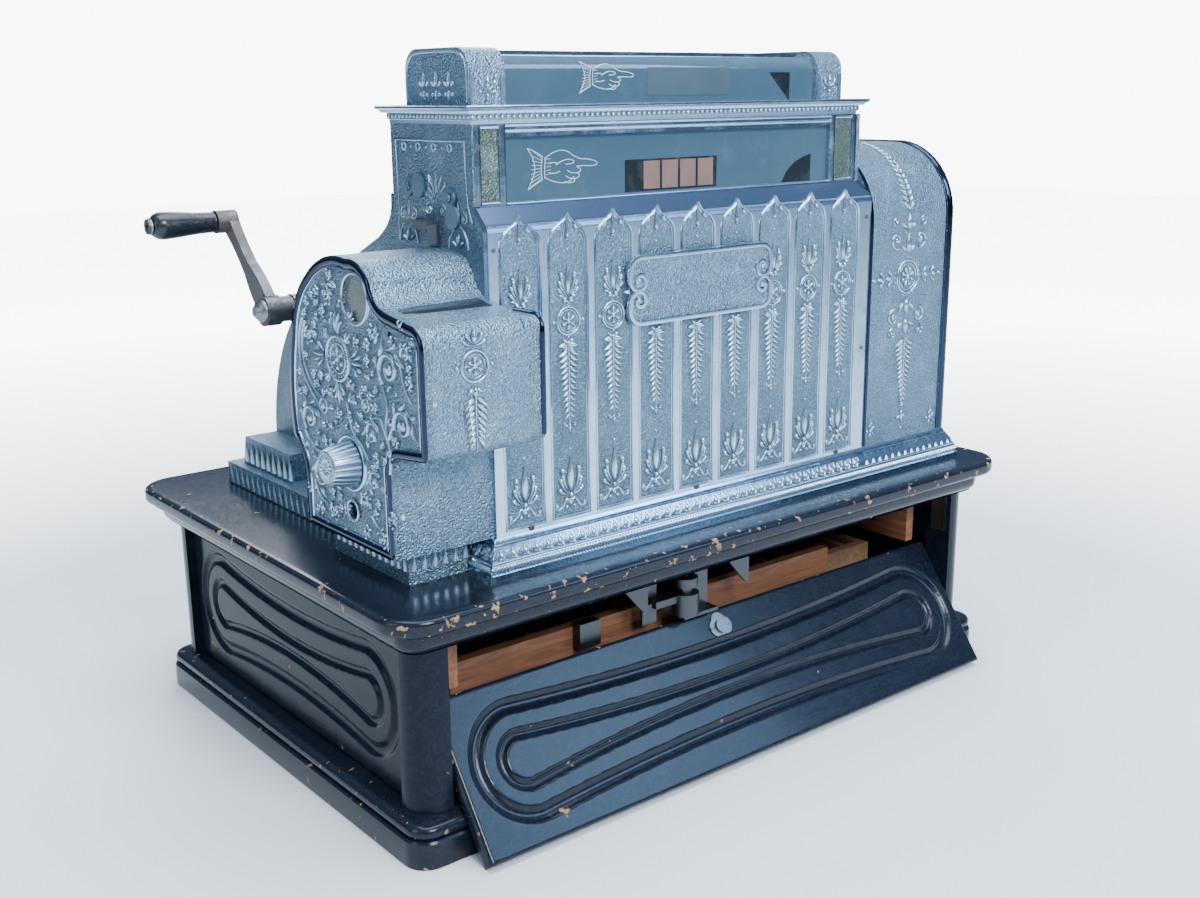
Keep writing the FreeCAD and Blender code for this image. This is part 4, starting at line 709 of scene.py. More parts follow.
class Carving:
    """Ornament on a flat sheet. Each point is across, up and height, in millimetres."""

    def __init__(self):
        self.points = []
        self.rise = []
        self.faces = []

    def stroke(self, path, widths, height, back=ROUND_BACK, closed=False):
        """A closed ridge along the path. Widths are half widths, one number or one a point."""
        path = np.asarray(path, dtype=float)
        widths = np.broadcast_to(widths, len(path))
        if closed:
            step = np.roll(path, -1, axis=0) - np.roll(path, 1, axis=0)
        else:
            step = np.gradient(path, axis=0)
        step = step / (np.linalg.norm(step, axis=1)[:, None] + 1e-9)
        side = np.stack([-step[:, 1], step[:, 0]], axis=1)
        first = len(self.points)
        ring = len(back)
        for place, across, width in zip(path, side, widths):
            tall = height * (0.3 + 0.7 * width / widths.max())
            for share, lift in back:
                spot = place + across * width * share
                self.points.append((*spot, tall * lift if lift else -SUNK))
                self.rise.append(lift * tall / height)
        count = len(path)
        for number in range(count if closed else count - 1):
            here = first + number * ring
            after = first + (number + 1) % count * ring
            for side_number in range(ring):
                beside = (side_number + 1) % ring
                self.faces.append((here + side_number, after + side_number, after + beside,
                                   here + beside))
        if not closed:
            self.faces.append(tuple(range(first, first + ring)))
            last = first + (count - 1) * ring
            self.faces.append(tuple(range(last, last + ring)))

    def bead(self, across, up, radius, height=None, sides=8):
        """A round dome."""
        height = height or radius * 0.9
        first = len(self.points)
        for size, lift in ((1.0, 0.0), (0.8, 0.62), (0.42, 0.92)):
            for number in range(sides):
                spot = around(across, up, radius * size, 2 * math.pi * number / sides)
                self.points.append((*spot, height * lift if lift else -SUNK))
                self.rise.append(lift)
        self.points.append((across, up, height))
        self.rise.append(1.0)
        for row in (0, 1):
            for number in range(sides):
                beside = (number + 1) % sides
                low, high = first + row * sides, first + (row + 1) * sides
                self.faces.append((low + number, low + beside, high + beside, high + number))
        for number in range(sides):
            beside = (number + 1) % sides
            self.faces.append((first + 2 * sides + number, first + 2 * sides + beside,
                               first + 3 * sides))
        self.faces.append(tuple(first + number for number in range(sides)))


# %% The carving kit: leaves, rings, scrolls and groups of them
def leaf(work, base, tip, width, height=1.5, bend=0.0, ball=False, steps=6):
    """A leaf from base to tip. With ball, it swells into a round end."""
    width, height = width * 1.3, height * 1.2
    base, tip = np.array(base, float), np.array(tip, float)
    run = tip - base
    control = (base + tip) / 2 + np.array((-run[1], run[0])) * bend
    path, widths = [], []
    for number in range(steps + 1):
        t = number / steps
        path.append(base * (1 - t) ** 2 + control * 2 * t * (1 - t) + tip * t * t)
        if ball:
            swell = 0.34 + 0.66 * t * t if t < 0.86 else 1.0
            close = 1.0 if t < 0.99 else 0.35
            widths.append(width * swell * close)
        else:
            widths.append(width * (0.12 + 0.88 * math.sin(math.pi * min(t * 1.02, 1) ** 0.8)))
    work.stroke(path, np.array(widths), height)


def ring(work, across, up, radius, width, height, sides=28, back=ROUND_BACK):
    path = [around(across, up, radius, 2 * math.pi * number / sides) for number in range(sides)]
    work.stroke(path, width, height, back, closed=True)


def ring_of_beads(work, across, up, radius, count, size, height):
    for number in range(count):
        spot = around(across, up, radius, 2 * math.pi * number / count)
        work.bead(*spot, size, height, 6)


def curl(work, across, up, radius, start, sweep, width=None, height=1.5, steps=14):
    """A scroll that winds in to a bead. A negative sweep winds clockwise."""
    width = width or radius * 0.2
    path = spiral(across, up, radius, radius * 0.3, start, sweep, steps)
    widths = np.linspace(width, width * 0.75, len(path))
    work.stroke(path, widths, height)
    work.bead(across, up, radius * 0.34, height)


def rosette(work, across, up, radius, petals=6, height=1.8):
    for number in range(petals):
        angle = 2 * math.pi * (number + 0.5) / petals
        reach = np.array((math.cos(angle), math.sin(angle)))
        centre = np.array((across, up))
        leaf(work, centre + reach * radius * 0.25, centre + reach * radius, radius * 0.3,
             height, ball=True, steps=4)
    work.bead(across, up, radius * 0.34, height * 1.15)


def medallion(work, across, up, outer, inner):
    ring(work, across, up, outer, outer * 0.1, 1.7)
    ring(work, across, up, inner, inner * 0.07, 1.0)
    rosette(work, across, up, inner * 0.78)


def pair(work, middle, draw, *parts, **more):
    """Draws a shape on both sides of a middle line, from which its own across is counted."""
    first, first_face = len(work.points), len(work.faces)
    draw(work, *parts, **more)
    shift = len(work.points) - first
    for number in range(first, first + shift):
        across, up, height = work.points[number]
        work.points[number] = (middle + across, up, height)
        work.points.append((middle - across, up, height))
        work.rise.append(work.rise[number])
    work.faces += [tuple(number + shift for number in face) for face in work.faces[first_face:]]


# %% Laying a carving on a wall
OUTWARDS = {"left": (0, -1), "right": (0, 1), "front": (1, -1), "back": (1, 1)}


def on_wall(facing, at, foot=0.0, lean=0.0, climb=1.0, swell=1.0):
    """A wall at x or y = at. Up starts at foot, and lean draws it in as it climbs."""
    axis, sign = OUTWARDS[facing]

    def place(across, up, height):
        out = at + sign * (swell * height - lean * up)
        return (across, out, foot + climb * up) if axis else (out, across, foot + climb * up)

    return place


def carved(name, work, place, slot, body="root", material=None):
    """Makes the piece that a carving describes, laid out by place."""
    points = [place(*point) for point in work.points]
    return make_piece(name, points, work.faces, material or CARVED, slot, body,
                      values={"rise": work.rise}, sharp=75)


# %% [markdown]
# The wooden panels have two routed loops, one inside the other, with soft round lips. The cut
# follows a rule: its depth depends only on the distance from the loop's line. So each board is
# a fine grid whose face is pushed in by that rule, which gives the rounded lips that a plain
# boolean cut can't. The same distances say where the wood is worn.

# %% A routed board as a grid
def dog_bone(half, height, waist, steps=28):
    """The line of a loop with round ends, drawn in at its waist."""
    reach = half - height
    drop = height - waist
    sweep = (reach * reach + drop * drop) / (2 * drop)
    path = []
    for number in range(steps + 1):
        angle = math.pi * (0.5 - number / steps)
        path.append(around(reach, 0, height, angle))
    middle_up = waist + sweep
    for number in range(1, steps):
        across = reach - 2 * reach * number / steps
        path.append((across, -(middle_up - math.sqrt(sweep * sweep - across * across))))
    turned = [(-across, -up) for across, up in path]
    return np.array(path + turned)


def distance_to(path, spots):
    """Distance from each spot to a closed line."""
    nearest = np.full(len(spots), 1e9)
    for start, end in zip(path, np.roll(path, -1, axis=0)):
        run = end - start
        share = np.clip(((spots - start) @ run) / (run @ run), 0, 1)
        gap = spots - (start + share[:, None] * run)
        nearest = np.minimum(nearest, np.einsum("ij,ij->i", gap, gap))
    return np.sqrt(nearest)


# Each loop's cut width, margin at the board's ends, half height and half height at the waist.
LOOPS = ((10.0, 17.0, 43.0, 33.0), (7.0, 39.0, 20.0, 7.0))


def routed_face(half_width, half_height, step):
    """Grid spots, their depth below the face and their wear."""
    columns = max(int(half_width * 2 / step), 8)
    rows = max(int(half_height * 2 / step), 8)
    across = np.linspace(-half_width, half_width, columns + 1)
    up = np.linspace(-half_height, half_height, rows + 1)
    grid = np.stack(np.meshgrid(across, up, indexing="ij"), axis=-1).reshape(-1, 2)
    depth = np.zeros(len(grid))
    wear = np.zeros(len(grid))
    for width, margin, height, waist in LOOPS:
        gap = distance_to(dog_bone(half_width - margin, height, waist), grid)
        inside = np.clip(1 - (gap / (width * 0.62)) ** 2, 0, 1)
        depth = np.maximum(depth, 3.2 * inside ** 0.85)
        lip = np.exp(-((gap - width * 0.6) / 1.4) ** 2)
        wear = np.maximum(wear, 0.2 * lip)
    border = np.minimum(half_width - abs(grid[:, 0]), half_height - abs(grid[:, 1]))
    round_over = np.clip(1 - border / 2.2, 0, 1)
    depth = np.maximum(depth, 1.3 * round_over ** 2)
    wear = np.maximum(wear, np.exp(-border / 2.6))
    return grid, depth, wear, columns, rows


def routed_board(name, half_width, half_height, thick, step, place, slot, material, body, stands_for):
    """A board whose worked face is a grid, with edges and a back."""
    grid, depth, wear, columns, rows = routed_face(half_width, half_height, step)
    points = [place(across, up, -low) for (across, up), low in zip(grid, depth)]
    values = list(wear)
    faces = []
    high = rows + 1
    for column in range(columns):
        for row in range(rows):
            here = column * high + row
            faces.append((here, here + high, here + high + 1, here + 1))
    border = [row for row in range(high)]
    border += [column * high + rows for column in range(1, columns + 1)]
    border += [columns * high + row for row in range(rows - 1, -1, -1)]
    border += [column * high for column in range(columns - 1, 0, -1)]
    first = len(points)
    for number in border:
        across, up = grid[number]
        points.append(place(across, up, -thick))
        values.append(0.35)
    count = len(border)
    for number in range(count):
        after = (number + 1) % count
        faces.append((border[number], border[after], first + after, first + number))
    faces.append(tuple(first + number for number in range(count)))
    return make_piece(name, points, faces, material, slot, body, stands_for,
                      values={"wear": values}, sharp=80)


# %% The leaning front panel, the two sides and the drawer's front
LEAN = math.radians(36)
panel_low, panel_high = span("front_panel")
panel_half = (panel_high[0] - panel_low[0]) / 2
panel_middle = (panel_high[0] + panel_low[0]) / 2
panel_foot_y = -231 - 31 * math.tan(LEAN)


def on_panel(across, up, height):
    """The worked face of the leaning panel. Up is measured from its middle line."""
    out = -12 - height
    rise = up + 65
    return (panel_middle + across, panel_foot_y + out * math.cos(LEAN) + rise * math.sin(LEAN),
            rise * math.cos(LEAN) - out * math.sin(LEAN))


routed_board("front_panel_board", panel_half, 65, 12, 1.3, on_panel, "ebonised_wood",
             EBONISED, "root", ("front_panel",))


def side_board(name, outside, sign):
    low, high = span(name)
    middle_up = (low[2] + high[2]) / 2
    middle_along = (low[1] + high[1]) / 2

    def place(across, up, height):
        return outside + sign * height, middle_along + across, middle_up + up

    return routed_board(name + "_routed", (high[1] - low[1]) / 2, (high[2] - low[2]) / 2, 14,
                        1.5, place, "ebonised_wood", EBONISED_SIDE, "root", (name,))


side_board("base_side_left", span("base_side_left")[0][0], -1)
side_board("base_side_right", span("base_side_right")[1][0], 1)

drawer_low, drawer_high = span("drawer_front")
drawer_middle = (drawer_low[2] + drawer_high[2]) / 2
routed_board("drawer_front_routed", (drawer_high[0] - drawer_low[0]) / 2,
             (drawer_high[2] - drawer_low[2]) / 2, drawer_high[1] - drawer_low[1], 1.6,
             lambda across, up, height: (across, drawer_high[1] + height, drawer_middle + up),
             "ebonised_wood", EBONISED, "drawer", ("drawer_front",))
print("boards routed")


# %% [markdown]
# A moulding is one profile carried round a rectangle with round or mitred corners. The same
# helper makes the wooden top and foot of the base, the metal foot of the cabinet and the
# cornice. Each profile point is an inset from the outline, a height and how worn it is.

# %% Mouldings carried round a rectangle
def round_rectangle(box, inset, corner, steps=7):
    """Points round a rectangle (x0, x1, y0, y1), drawn in by inset."""
    left, right = box[0] + inset, box[1] - inset
    near, far = box[2] + inset, box[3] - inset
    radius = max(corner - inset, 0.3)
    path = []
    corners = ((right, far, 0), (left, far, 90), (left, near, 180), (right, near, 270))
    for x, y, start in corners:
        centre_x = x - radius if start in (0, 270) else x + radius
        centre_y = y - radius if start in (0, 90) else y + radius
        for number in range(steps + 1):
            angle = math.radians(start + 90 * number / steps)
            path.append(around(centre_x, centre_y, radius, angle))
    return path


def divided(path, longest):
    """A closed path whose long runs are divided, so that a bent carving follows its wall."""
    made = []
    for start, end in zip(path, path[1:] + path[:1]):
        gap = math.dist(start, end)
        parts = max(int(math.ceil(gap / longest)), 1)
        for number in range(parts):
            made.append((start[0] + (end[0] - start[0]) * number / parts,
                         start[1] + (end[1] - start[1]) * number / parts))
    return made


def moulding(name, box, corner, profile, material, slot, stands_for, open_middle=False, steps=7):
    """Carries a profile of (inset, up, wear) round a rectangle."""
    points, wear = [], []
    for inset, up, worn in profile:
        path = round_rectangle(box, inset, corner, steps)
        points += [(x, y, up) for x, y in path]
        wear += [worn] * len(path)
    faces = skin_over(len(profile), len(path), capped=not open_middle, joined=open_middle)
    return make_piece(name, points, faces, material, slot, "root", stands_for,
                      values={"wear": wear}, sharp=32)


def rounded_profile(inset, up, radius, start, sweep, wear, steps=4):
    """Profile points on an arc. Angle 0 points outwards and 90 points up."""
    made = []
    for number in range(steps + 1):
        angle = math.radians(start + sweep * number / steps)
        made.append((inset - radius * math.cos(angle), up + radius * math.sin(angle), wear))
    return made


# %% The wooden top and foot of the base
top_box = (top_low[0], top_high[0], top_low[1], top_high[1])
shelf_in = 15
top_profile = [(shelf_in + 9, 169, 0.3), (shelf_in + 5, 169, 0.5)]
top_profile += rounded_profile(shelf_in + 9, 178, 9, -75, 75, 0.45, 4)
top_profile += [(shelf_in, 183, 0.3), (10, 187.2, 0.4), (5, 188.2, 0.5)]
top_profile += rounded_profile(4.5, 192.5, 4.5, -70, 70, 0.95, 4)
top_profile += rounded_profile(4.5, 197.5, 4.5, 0, 78, 1.0, 5)
top_profile += [(7, 202, 0.85), (12, 202, 0.35), (24, 202, 0.0)]
moulding("top_board", top_box, 35, top_profile, EBONISED, "ebonised_wood", ("base_top_board",), steps=12)

plinth_low, plinth_high = span("base_plinth")
plinth_box = (plinth_low[0], plinth_high[0], plinth_low[1], plinth_high[1])
plinth_profile = [(40, 0, 0), (3, 0, 0.5), (0.5, 0.5, 0.9), (0, 3, 0.9), (0, 17, 0.35),
                  (0.3, 21, 0.6), (1.6, 22.6, 0.8)]
plinth_profile += rounded_profile(7.5, 28, 6.0, -58, 125, 0.8, 7)
plinth_profile += [(8.5, 35.0, 0.5), (13, 36.4, 0.6), (16, 37, 0.4), (40, 37, 0)]
moulding("foot_moulding", plinth_box, 20, plinth_profile, EBONISED, "ebonised_wood",
         ("base_plinth",), open_middle=True, steps=9)
print("top and foot moulded")


# %% [markdown]
# The nine strips of the front carry the same casting again and again: a bud hung under the
# pointed head, a palmette, a ring with a rosette, a long garland and a palmette at the foot.
# It is drawn once, about the strip's middle line, and a Geometry Nodes row lays the copies.

# %% The strip's castings, drawn once
def hanging_bud(work):
    """Two tendrils and a bud under the pointed head."""
    tendril = flowing([(0.4, 467.5), (3.2, 464.2), (7.2, 463.6), (10.2, 461.6), (9.6, 458.8),
                       (7.2, 459.2)], 3)
    pair(work, 0, Carving.stroke, tendril, np.linspace(0.7, 1.1, len(tendril)), 1.4)
    pair(work, 0, Carving.bead, 7.6, 460.2, 1.7, 1.7)
    leaf(work, (0, 466), (0, 451.5), 1.9, 1.9, ball=True)
    work.bead(0, 450.6, 1.0, 1.2)
    work.bead(0, 443, 1.3, 1.3)


def palmette(work):
    """A spear with four ball-ended leaves on each side, over a pair of round feet."""
    leaf(work, (0, 408), (0, 431.5), 2.3, 1.9, steps=7)
    tips = ((6.3, 424.6), (8.2, 418.4), (8.7, 412.8))
    for number, (across, up) in enumerate(tips):
        base = (1.6 + 0.7 * number, 410 - 0.6 * number)
        pair(work, 0, leaf, base, (across, up), 1.7, 1.9, -0.16, True)
        pair(work, 0, Carving.bead, across, up, 1.9, 2.1)
    pair(work, 0, leaf, (3, 406.6), (9.6, 408.4), 1.2, 1.3, 0.2)
    pair(work, 0, Carving.bead, 3.0, 405.0, 2.6, 1.9)
    work.bead(0, 403.2, 1.2, 1.3)


def ring_with_rosette(work):
    medallion(work, 0, 388.7, 10.7, 8.6)
    pair(work, 0, Carving.bead, 14.0, 388.7, 1.7, 1.7)
    pair(work, 0, Carving.stroke, [(11.4, 388.7), (13, 388.7)], 0.8, 0.8)
    work.bead(0, 401.0, 1.0, 1.0)
    work.bead(0, 376.6, 1.3, 1.2)


def garland(work, pairs=12):
    """A bow, then pairs of leaves down a stem, smaller and smaller, to a scrolled end."""
    pair(work, 0, leaf, (1, 371), (10.4, 369.8), 2.1, 1.9, -0.12)
    pair(work, 0, leaf, (1, 371), (6.2, 375), 1.4, 1.5, 0.2)
    pair(work, 0, leaf, (0.6, 370), (4.6, 364.6), 1.5, 1.4, 0.2)
    work.bead(0, 371.6, 2.2, 2.3)
    work.stroke([(0, 370), (0, 340), (0, 306)], (0.8, 0.8, 0.5), 1.2)
    for number in range(pairs):
        share = number / (pairs - 1)
        up = 362.2 - 49.5 * share
        reach = 11.2 - 5.4 * share
        width = 1.75 - 0.6 * share
        height = 2.0 - 0.6 * share
        pair(work, 0, leaf, (0.7, up + 5.2 - share), (reach, up - 0.4), width, height, -0.24, steps=5)
    pair(work, 0, curl, 4.6, 308.2, 2.3, 190, 260, 0.7, 1.3, 8)
    leaf(work, (0, 309), (0, 301.5), 1.3, 1.5)


def foot_palmette(work):
    """The large palmette at the foot, on a pair of scrolls."""
    leaf(work, (0, 253), (0, 281.5), 3.0, 2.3, steps=8)
    tips = ((8.0, 271.2, 2.5), (9.8, 263.2, 2.4), (10.6, 255.6, 2.4))
    for number, (across, up, size) in enumerate(tips):
        base = (2.0 + 0.5 * number, 252.8 - 0.9 * number)
        pair(work, 0, leaf, base, (across, up), size * 0.75, 2.1, -0.2, True)
        pair(work, 0, Carving.bead, across, up, size, 2.6)
    work.bead(0, 250.8, 2.4, 2.6)
    arm = flowing([(1.4, 246.4), (4.4, 247.6), (7.2, 243.8), (10.4, 240.4), (13.8, 240.6),
                   (14.9, 243.2), (13.0, 244.4)], 3)
    pair(work, 0, Carving.stroke, arm, np.linspace(1.5, 0.9, len(arm)), 1.7)
    pair(work, 0, Carving.bead, 13.2, 242.7, 1.3, 1.5)
    leaf(work, (0, 248.6), (0, 240.4), 2.2, 1.6)
    pair(work, 0, leaf, (1.6, 241.6), (6.2, 239.8), 1.0, 1.1, 0.2)
    work.bead(0, 288, 1.4, 1.4)


common_work, upper_work = Carving(), Carving()
for draw in (hanging_bud, garland, foot_palmette):
    draw(common_work)
for draw in (palmette, ring_with_rosette):
    draw(upper_work)
print(len(common_work.faces), "faces in the part that all strips share")


# %% [markdown]
# A row in Geometry Nodes: a line of points, a copy of the incoming mesh on each, and then
# Realize Instances, since the exported model can't hold instances. The result is turned to a
# plain mesh, and the modifier goes away.

# %% The row tree, and baking a tree to a plain mesh
class Copier(NodeTree):
    """A Geometry Nodes tree that lays copies of a casting. Inputs are name=kind."""

    def __init__(self, name, **inputs):
        super().__init__(bpy.data.node_groups.new(name, "GeometryNodeTree"))
        sockets = self.tree.interface
        for label, kind in {"Geometry": "Geometry", **inputs, "Material": "Material"}.items():
            sockets.new_socket(label, in_out="INPUT", socket_type="NodeSocket" + kind)
        sockets.new_socket("Geometry", in_out="OUTPUT", socket_type="NodeSocketGeometry")
        self.given = self.tree.nodes.new("NodeGroupInput").outputs
        self.end = self.tree.nodes.new("NodeGroupOutput")

    def copies(self, points, instance, **more):
        """Copies on points, with Realize Instances and Set Material as the last two nodes."""
        made = self.put("GeometryNodeInstanceOnPoints", Points=points, Instance=instance, **more)
        real = self.put("GeometryNodeRealizeInstances", made.outputs[0])
        finish = self.put("GeometryNodeSetMaterial", Geometry=real.outputs[0],
                          Material=self.given["Material"])
        self.feed(self.end.inputs[0], finish.outputs[0])
        return self.tree


def row_tree():
    row = Copier("row_of_castings", First="Vector", Pitch="Vector", Count="Int")
    line = row.put("GeometryNodeMeshLine", Count=row.given["Count"],
                   Start_Location=row.given["First"], Offset=row.given["Pitch"])
    return row.copies(line.outputs[0], row.given["Geometry"])


def grow(obj, tree, **values):
    """Runs a Geometry Nodes tree on an object and keeps the result as its plain mesh."""
    modifier = obj.modifiers.new(tree.name, "NODES")
    modifier.node_group = tree
    for socket in tree.interface.items_tree:
        if socket.item_type == "SOCKET" and socket.in_out == "INPUT" and socket.name in values:
            modifier[socket.identifier] = values[socket.name]
    obj.update_tag()
    view = bpy.context.evaluated_depsgraph_get()
    mesh = bpy.data.meshes.new_from_object(obj.evaluated_get(view), depsgraph=view)
    obj.modifiers.remove(modifier)
    obj.data = mesh
    mesh.name = obj.name
    return obj


ROW = row_tree()


def laid_row(name, work, facing, at, foot, first, pitch, count, slot="cast_nickel",
             material=CARVED, sharp=70, **shape):
    """A row of one carving along a wall. First and pitch are counted along it."""
    place = on_wall(facing, at, foot, **shape)
    points = [place(*point) for point in work.points]
    obj = plain_object(name, points, work.faces, material, {"rise": work.rise}, sharp)
    step = (MM, 0, 0) if facing in ("front", "back") else (0, MM, 0)
    grow(obj, ROW, First=tuple(first * size for size in step),
         Pitch=tuple(pitch * size for size in step), Count=count, Material=material)
    return dress(obj, slot)


ground_y = front_y + 1.5


def strip_row(name, work, start=0, count=strip_count, **more):
    """A row of one carving on the sunk ground of the strips, from strip number start."""
    return laid_row(name, work, "front", ground_y, 0, strip_first + start * strip_pitch,
                    strip_pitch, count, **more)


strip_row("strip_castings", common_work, sharp=75)
strip_row("strip_palmettes_left", upper_work, 0, 3, sharp=75)
strip_row("strip_palmettes_right", upper_work, 6, 3, sharp=75)


# %% [markdown]
# Bright fillets run round each sunk strip. They follow the strip's outline, which ends in an
# ogee: two curves that bend out and then in to a point. One outline makes the row of nine.

# %% Fillets round the strips
def strip_outline(half, foot, spring, apex, round_size=16.0):
    """The strip's outline with its ogee head, clockwise from the foot."""
    rise = (spring + apex) / 2
    low = spring - round_size / 2
    right = [(half, low)]
    for number in range(1, 6):
        t = number / 5
        right.append((half - (half - half / 3) * t ** 1.7, low + (rise - low) * t ** 0.75))
    for number in range(1, 6):
        t = number / 5
        right.append((half / 3 * (1 - t) ** 1.25, rise + (apex - rise) * t ** 1.35))
    left = [(-across, up) for across, up in reversed(right[:-1])]
    return [(-half, foot), (half, foot)] + right + left


fillets = Carving()
for outline, width, height in ((strip_outline(18.6, 233.4, 456.8, 470.8), 1.15, 2.7),
                               (strip_outline(16.9, 235.2, 455.8, 467.6), 0.55, 1.2)):
    fillets.stroke(divided(outline, 30), width, height, closed=True)
strip_row("strip_fillets", fillets, material=BRIGHT, sharp=60)


# %% [markdown]
# The name plate is left bare. Its rim is a flat band that runs round the plate and winds in
# to a scroll at each corner of its two ends, with a small bud between the scrolls.

# %% The bare name plate and its scrolled rim
name_box = (name_low[0], name_high[0], name_low[2], name_high[2])
name_face = name_low[1]


def rim_half(upper):
    """The upper or the lower half of the rim, from one scroll's eye to the other's."""
    left, right = name_box[0] + 2.2, name_box[1] - 2.2
    middle_up = (name_box[2] + name_box[3]) / 2
    sign = 1 if upper else -1
    eye_up = middle_up + 7.9
    edge = name_box[3] - 2.2
    scroll = spiral(left + 9.6, eye_up, 9.6, 2.4, 180, 400, 22)[::-1]
    corner = [(left + 11 - 11 * math.cos(angle), edge - 11 + 11 * math.sin(angle))
              for angle in np.linspace(0.1, math.pi / 2, 7)]
    path = scroll + corner
    centre = (left + right) / 2
    path += [(2 * centre - across, up) for across, up in reversed(path)]
    return [(across, middle_up + sign * (up - middle_up)) for across, up in path]


rim_work = Carving()
for upper in (True, False):
    rim_work.stroke(rim_half(upper), 2.1, 1.9, FLAT_BACK)
middle_up = (name_box[2] + name_box[3]) / 2
middle_across = (name_box[0] + name_box[1]) / 2
for sign in (-1, 1):
    eye = middle_across + sign * (name_box[1] - middle_across - 11.4)
    for up in (middle_up - 7.9, middle_up + 7.9):
        rim_work.bead(eye, up, 2.2, 2.0)
    leaf(rim_work, (eye + sign * 6, middle_up), (eye - sign * 9, middle_up), 1.5, 1.6)
    leaf(rim_work, (eye + sign * 9, middle_up), (eye + sign * 14.5, middle_up), 1.4, 1.2)
carved("plate_rim", rim_work, on_wall("front", name_face), "cast_nickel", material=BRIGHT)


# %% [markdown]
# The housing on the right has the same kind of ornament, but its long upper leaf climbs over
# the round top. The carving is drawn flat, with the arc's length as its height, and is then
# bent: everything above the shoulder turns about the arc's centre.

# %% Bending a carving over the round housing
arc_radius = 67.0
arc_spring = drum_high[2] - arc_radius
arc_centre_y = drum_low[1] + arc_radius
back_arc = drum_high[1] - 10
flat_start = arc_spring + arc_radius * math.pi / 2
back_start = flat_start + 10 - arc_centre_y
wall_start = back_start + back_arc * math.pi / 2
drum_path = wall_start + drum_high[2] - back_arc - foot_z


def over_the_drum(across, up, height):
    """Up runs up the front, over the round top and down the clerk's side."""
    if up <= arc_spring:
        return across, drum_low[1] - height, up
    if up <= flat_start:
        angle = (up - arc_spring) / arc_radius
        reach = arc_radius + height
        return (across, arc_centre_y - reach * math.cos(angle), arc_spring + reach * math.sin(angle))
    if up <= back_start:
        return across, arc_centre_y + up - flat_start, drum_high[2] + height
    angle = min((up - back_start) / back_arc, math.pi / 2)
    reach = back_arc + height
    below = max(up - wall_start, 0)
    return (across, 10 + reach * math.sin(angle),
            drum_high[2] - back_arc + reach * math.cos(angle) - below)


# %% The ornament of the housing's front
DRUM_RING = 386.3


def drum_ring(work, middle):
    ring(work, middle, DRUM_RING, 15.2, 1.3, 1.8, 32)
    ring(work, middle, DRUM_RING, 12.2, 0.8, 1.2, 28)
    rosette(work, middle, DRUM_RING, 9.0, 8, 2.2)
    ring_of_beads(work, middle, DRUM_RING, 17.6, 24, 1.0, 1.0)


def side_spray(work, middle):
    """Clusters of three leaves that run out to each side of the ring."""
    up = DRUM_RING
    pair(work, middle, Carving.stroke, [(19, up), (46, up)], (1.0, 0.6), 1.2)
    for reach in (27.0, 39.0):
        for lift in (-1, 1):
            tip = (reach + 1, up + 6.5 * lift)
            pair(work, middle, leaf, (reach - 5, up), tip, 1.9, 1.9, 0.25 * lift, True)
        pair(work, middle, leaf, (reach - 4, up), (reach + 5, up), 2.1, 2.1)
    pair(work, middle, leaf, (44, up), (52, up), 1.7, 1.8)


def fern(work, middle, top, foot, wide, narrow, pairs, lift):
    """Pairs of leaves along an upright stem. With lift 1 they point up, with -1 down."""
    work.stroke([(middle, top), (middle, (top + foot) / 2), (middle, foot)],
                (1.0, 0.9, 0.5) if lift < 0 else (0.5, 0.9, 1.0), 1.4)
    for number in range(pairs):
        share = number / (pairs - 1)
        start = top + (foot - top) * share if lift < 0 else foot + (top - foot) * share
        reach = wide + (narrow - wide) * share
        drop = (7.0 - 2.5 * share) * lift
        width, height = 2.1 - 0.9 * share, 2.2 - 0.8 * share
        pair(work, middle, leaf, (0.8, start), (reach, start + drop), width, height, 0.22 * lift,
             steps=5)


drum_work = Carving()
drum_middle = 243.0
drum_ring(drum_work, drum_middle)
side_spray(drum_work, drum_middle)
for across, up, size, turn in ((17.5, 421.0, 8.4, 250), (19.5, 438.5, 5.0, 250),
                               (18.5, 348.7, 7.8, 90), (20.0, 333.7, 5.2, 90)):
    sweep = 400 if turn == 250 else -400
    pair(drum_work, drum_middle, curl, across, up, size, turn, sweep, size * 0.18, 2.0, 18)
for up, tip in ((408, 428), (430, 446), (366, 350), (347, 331)):
    leaf(drum_work, (drum_middle, up), (drum_middle, tip), 3.2, 2.3)
for base, tip in (((3, 410), (12, 416)), ((3, 432), (13, 436)), ((3, 362), (11, 353)),
                  ((3, 343), (13, 338))):
    pair(drum_work, drum_middle, leaf, base, tip, 1.9, 1.8, 0.15)
fern(drum_work, drum_middle, 529, 449, 11.0, 2.5, 15, 1)
fern(drum_work, drum_middle, 328, 266, 15.0, 3.0, 14, -1)
leaf(drum_work, (drum_middle, 529), (drum_middle, 540), 1.6, 1.5)
for up, size in ((543, 1.6), (548, 1.3), (262, 1.7), (240, 1.5)):
    drum_work.bead(drum_middle, up, size)
leaf(drum_work, (drum_middle, 258), (drum_middle, 245), 2.0, 1.8)
pair(drum_work, drum_middle, leaf, (1, 252), (7, 249), 1.3, 1.4, 0.2)
for sign in (-1, 1):
    corner = drum_middle + sign * 44.4
    rosette(drum_work, corner, 243.7, 6.5, 5, 1.6)
    leaf(drum_work, (corner, 248), (corner, 256), 1.6, 1.4)
carved("drum_ornament", drum_work, over_the_drum, "cast_nickel")

drum_rims = Carving()
rim_line = np.linspace(230.5, drum_path - 1, 96)
for across, width in ((drum_high[0] - 4.2, 3.6), (drum_low[0] + 1.6, 1.5)):
    drum_rims.stroke([(across, up) for up in rim_line], width, 1.6, FLAT_BACK)
drum_rims.stroke([(drum_high[0] - 9.6, up) for up in rim_line], 0.7, 1.1)
carved("drum_rims", drum_rims, over_the_drum, "polished_nickel", material=RIM_BLUE)
print("front ornament placed")


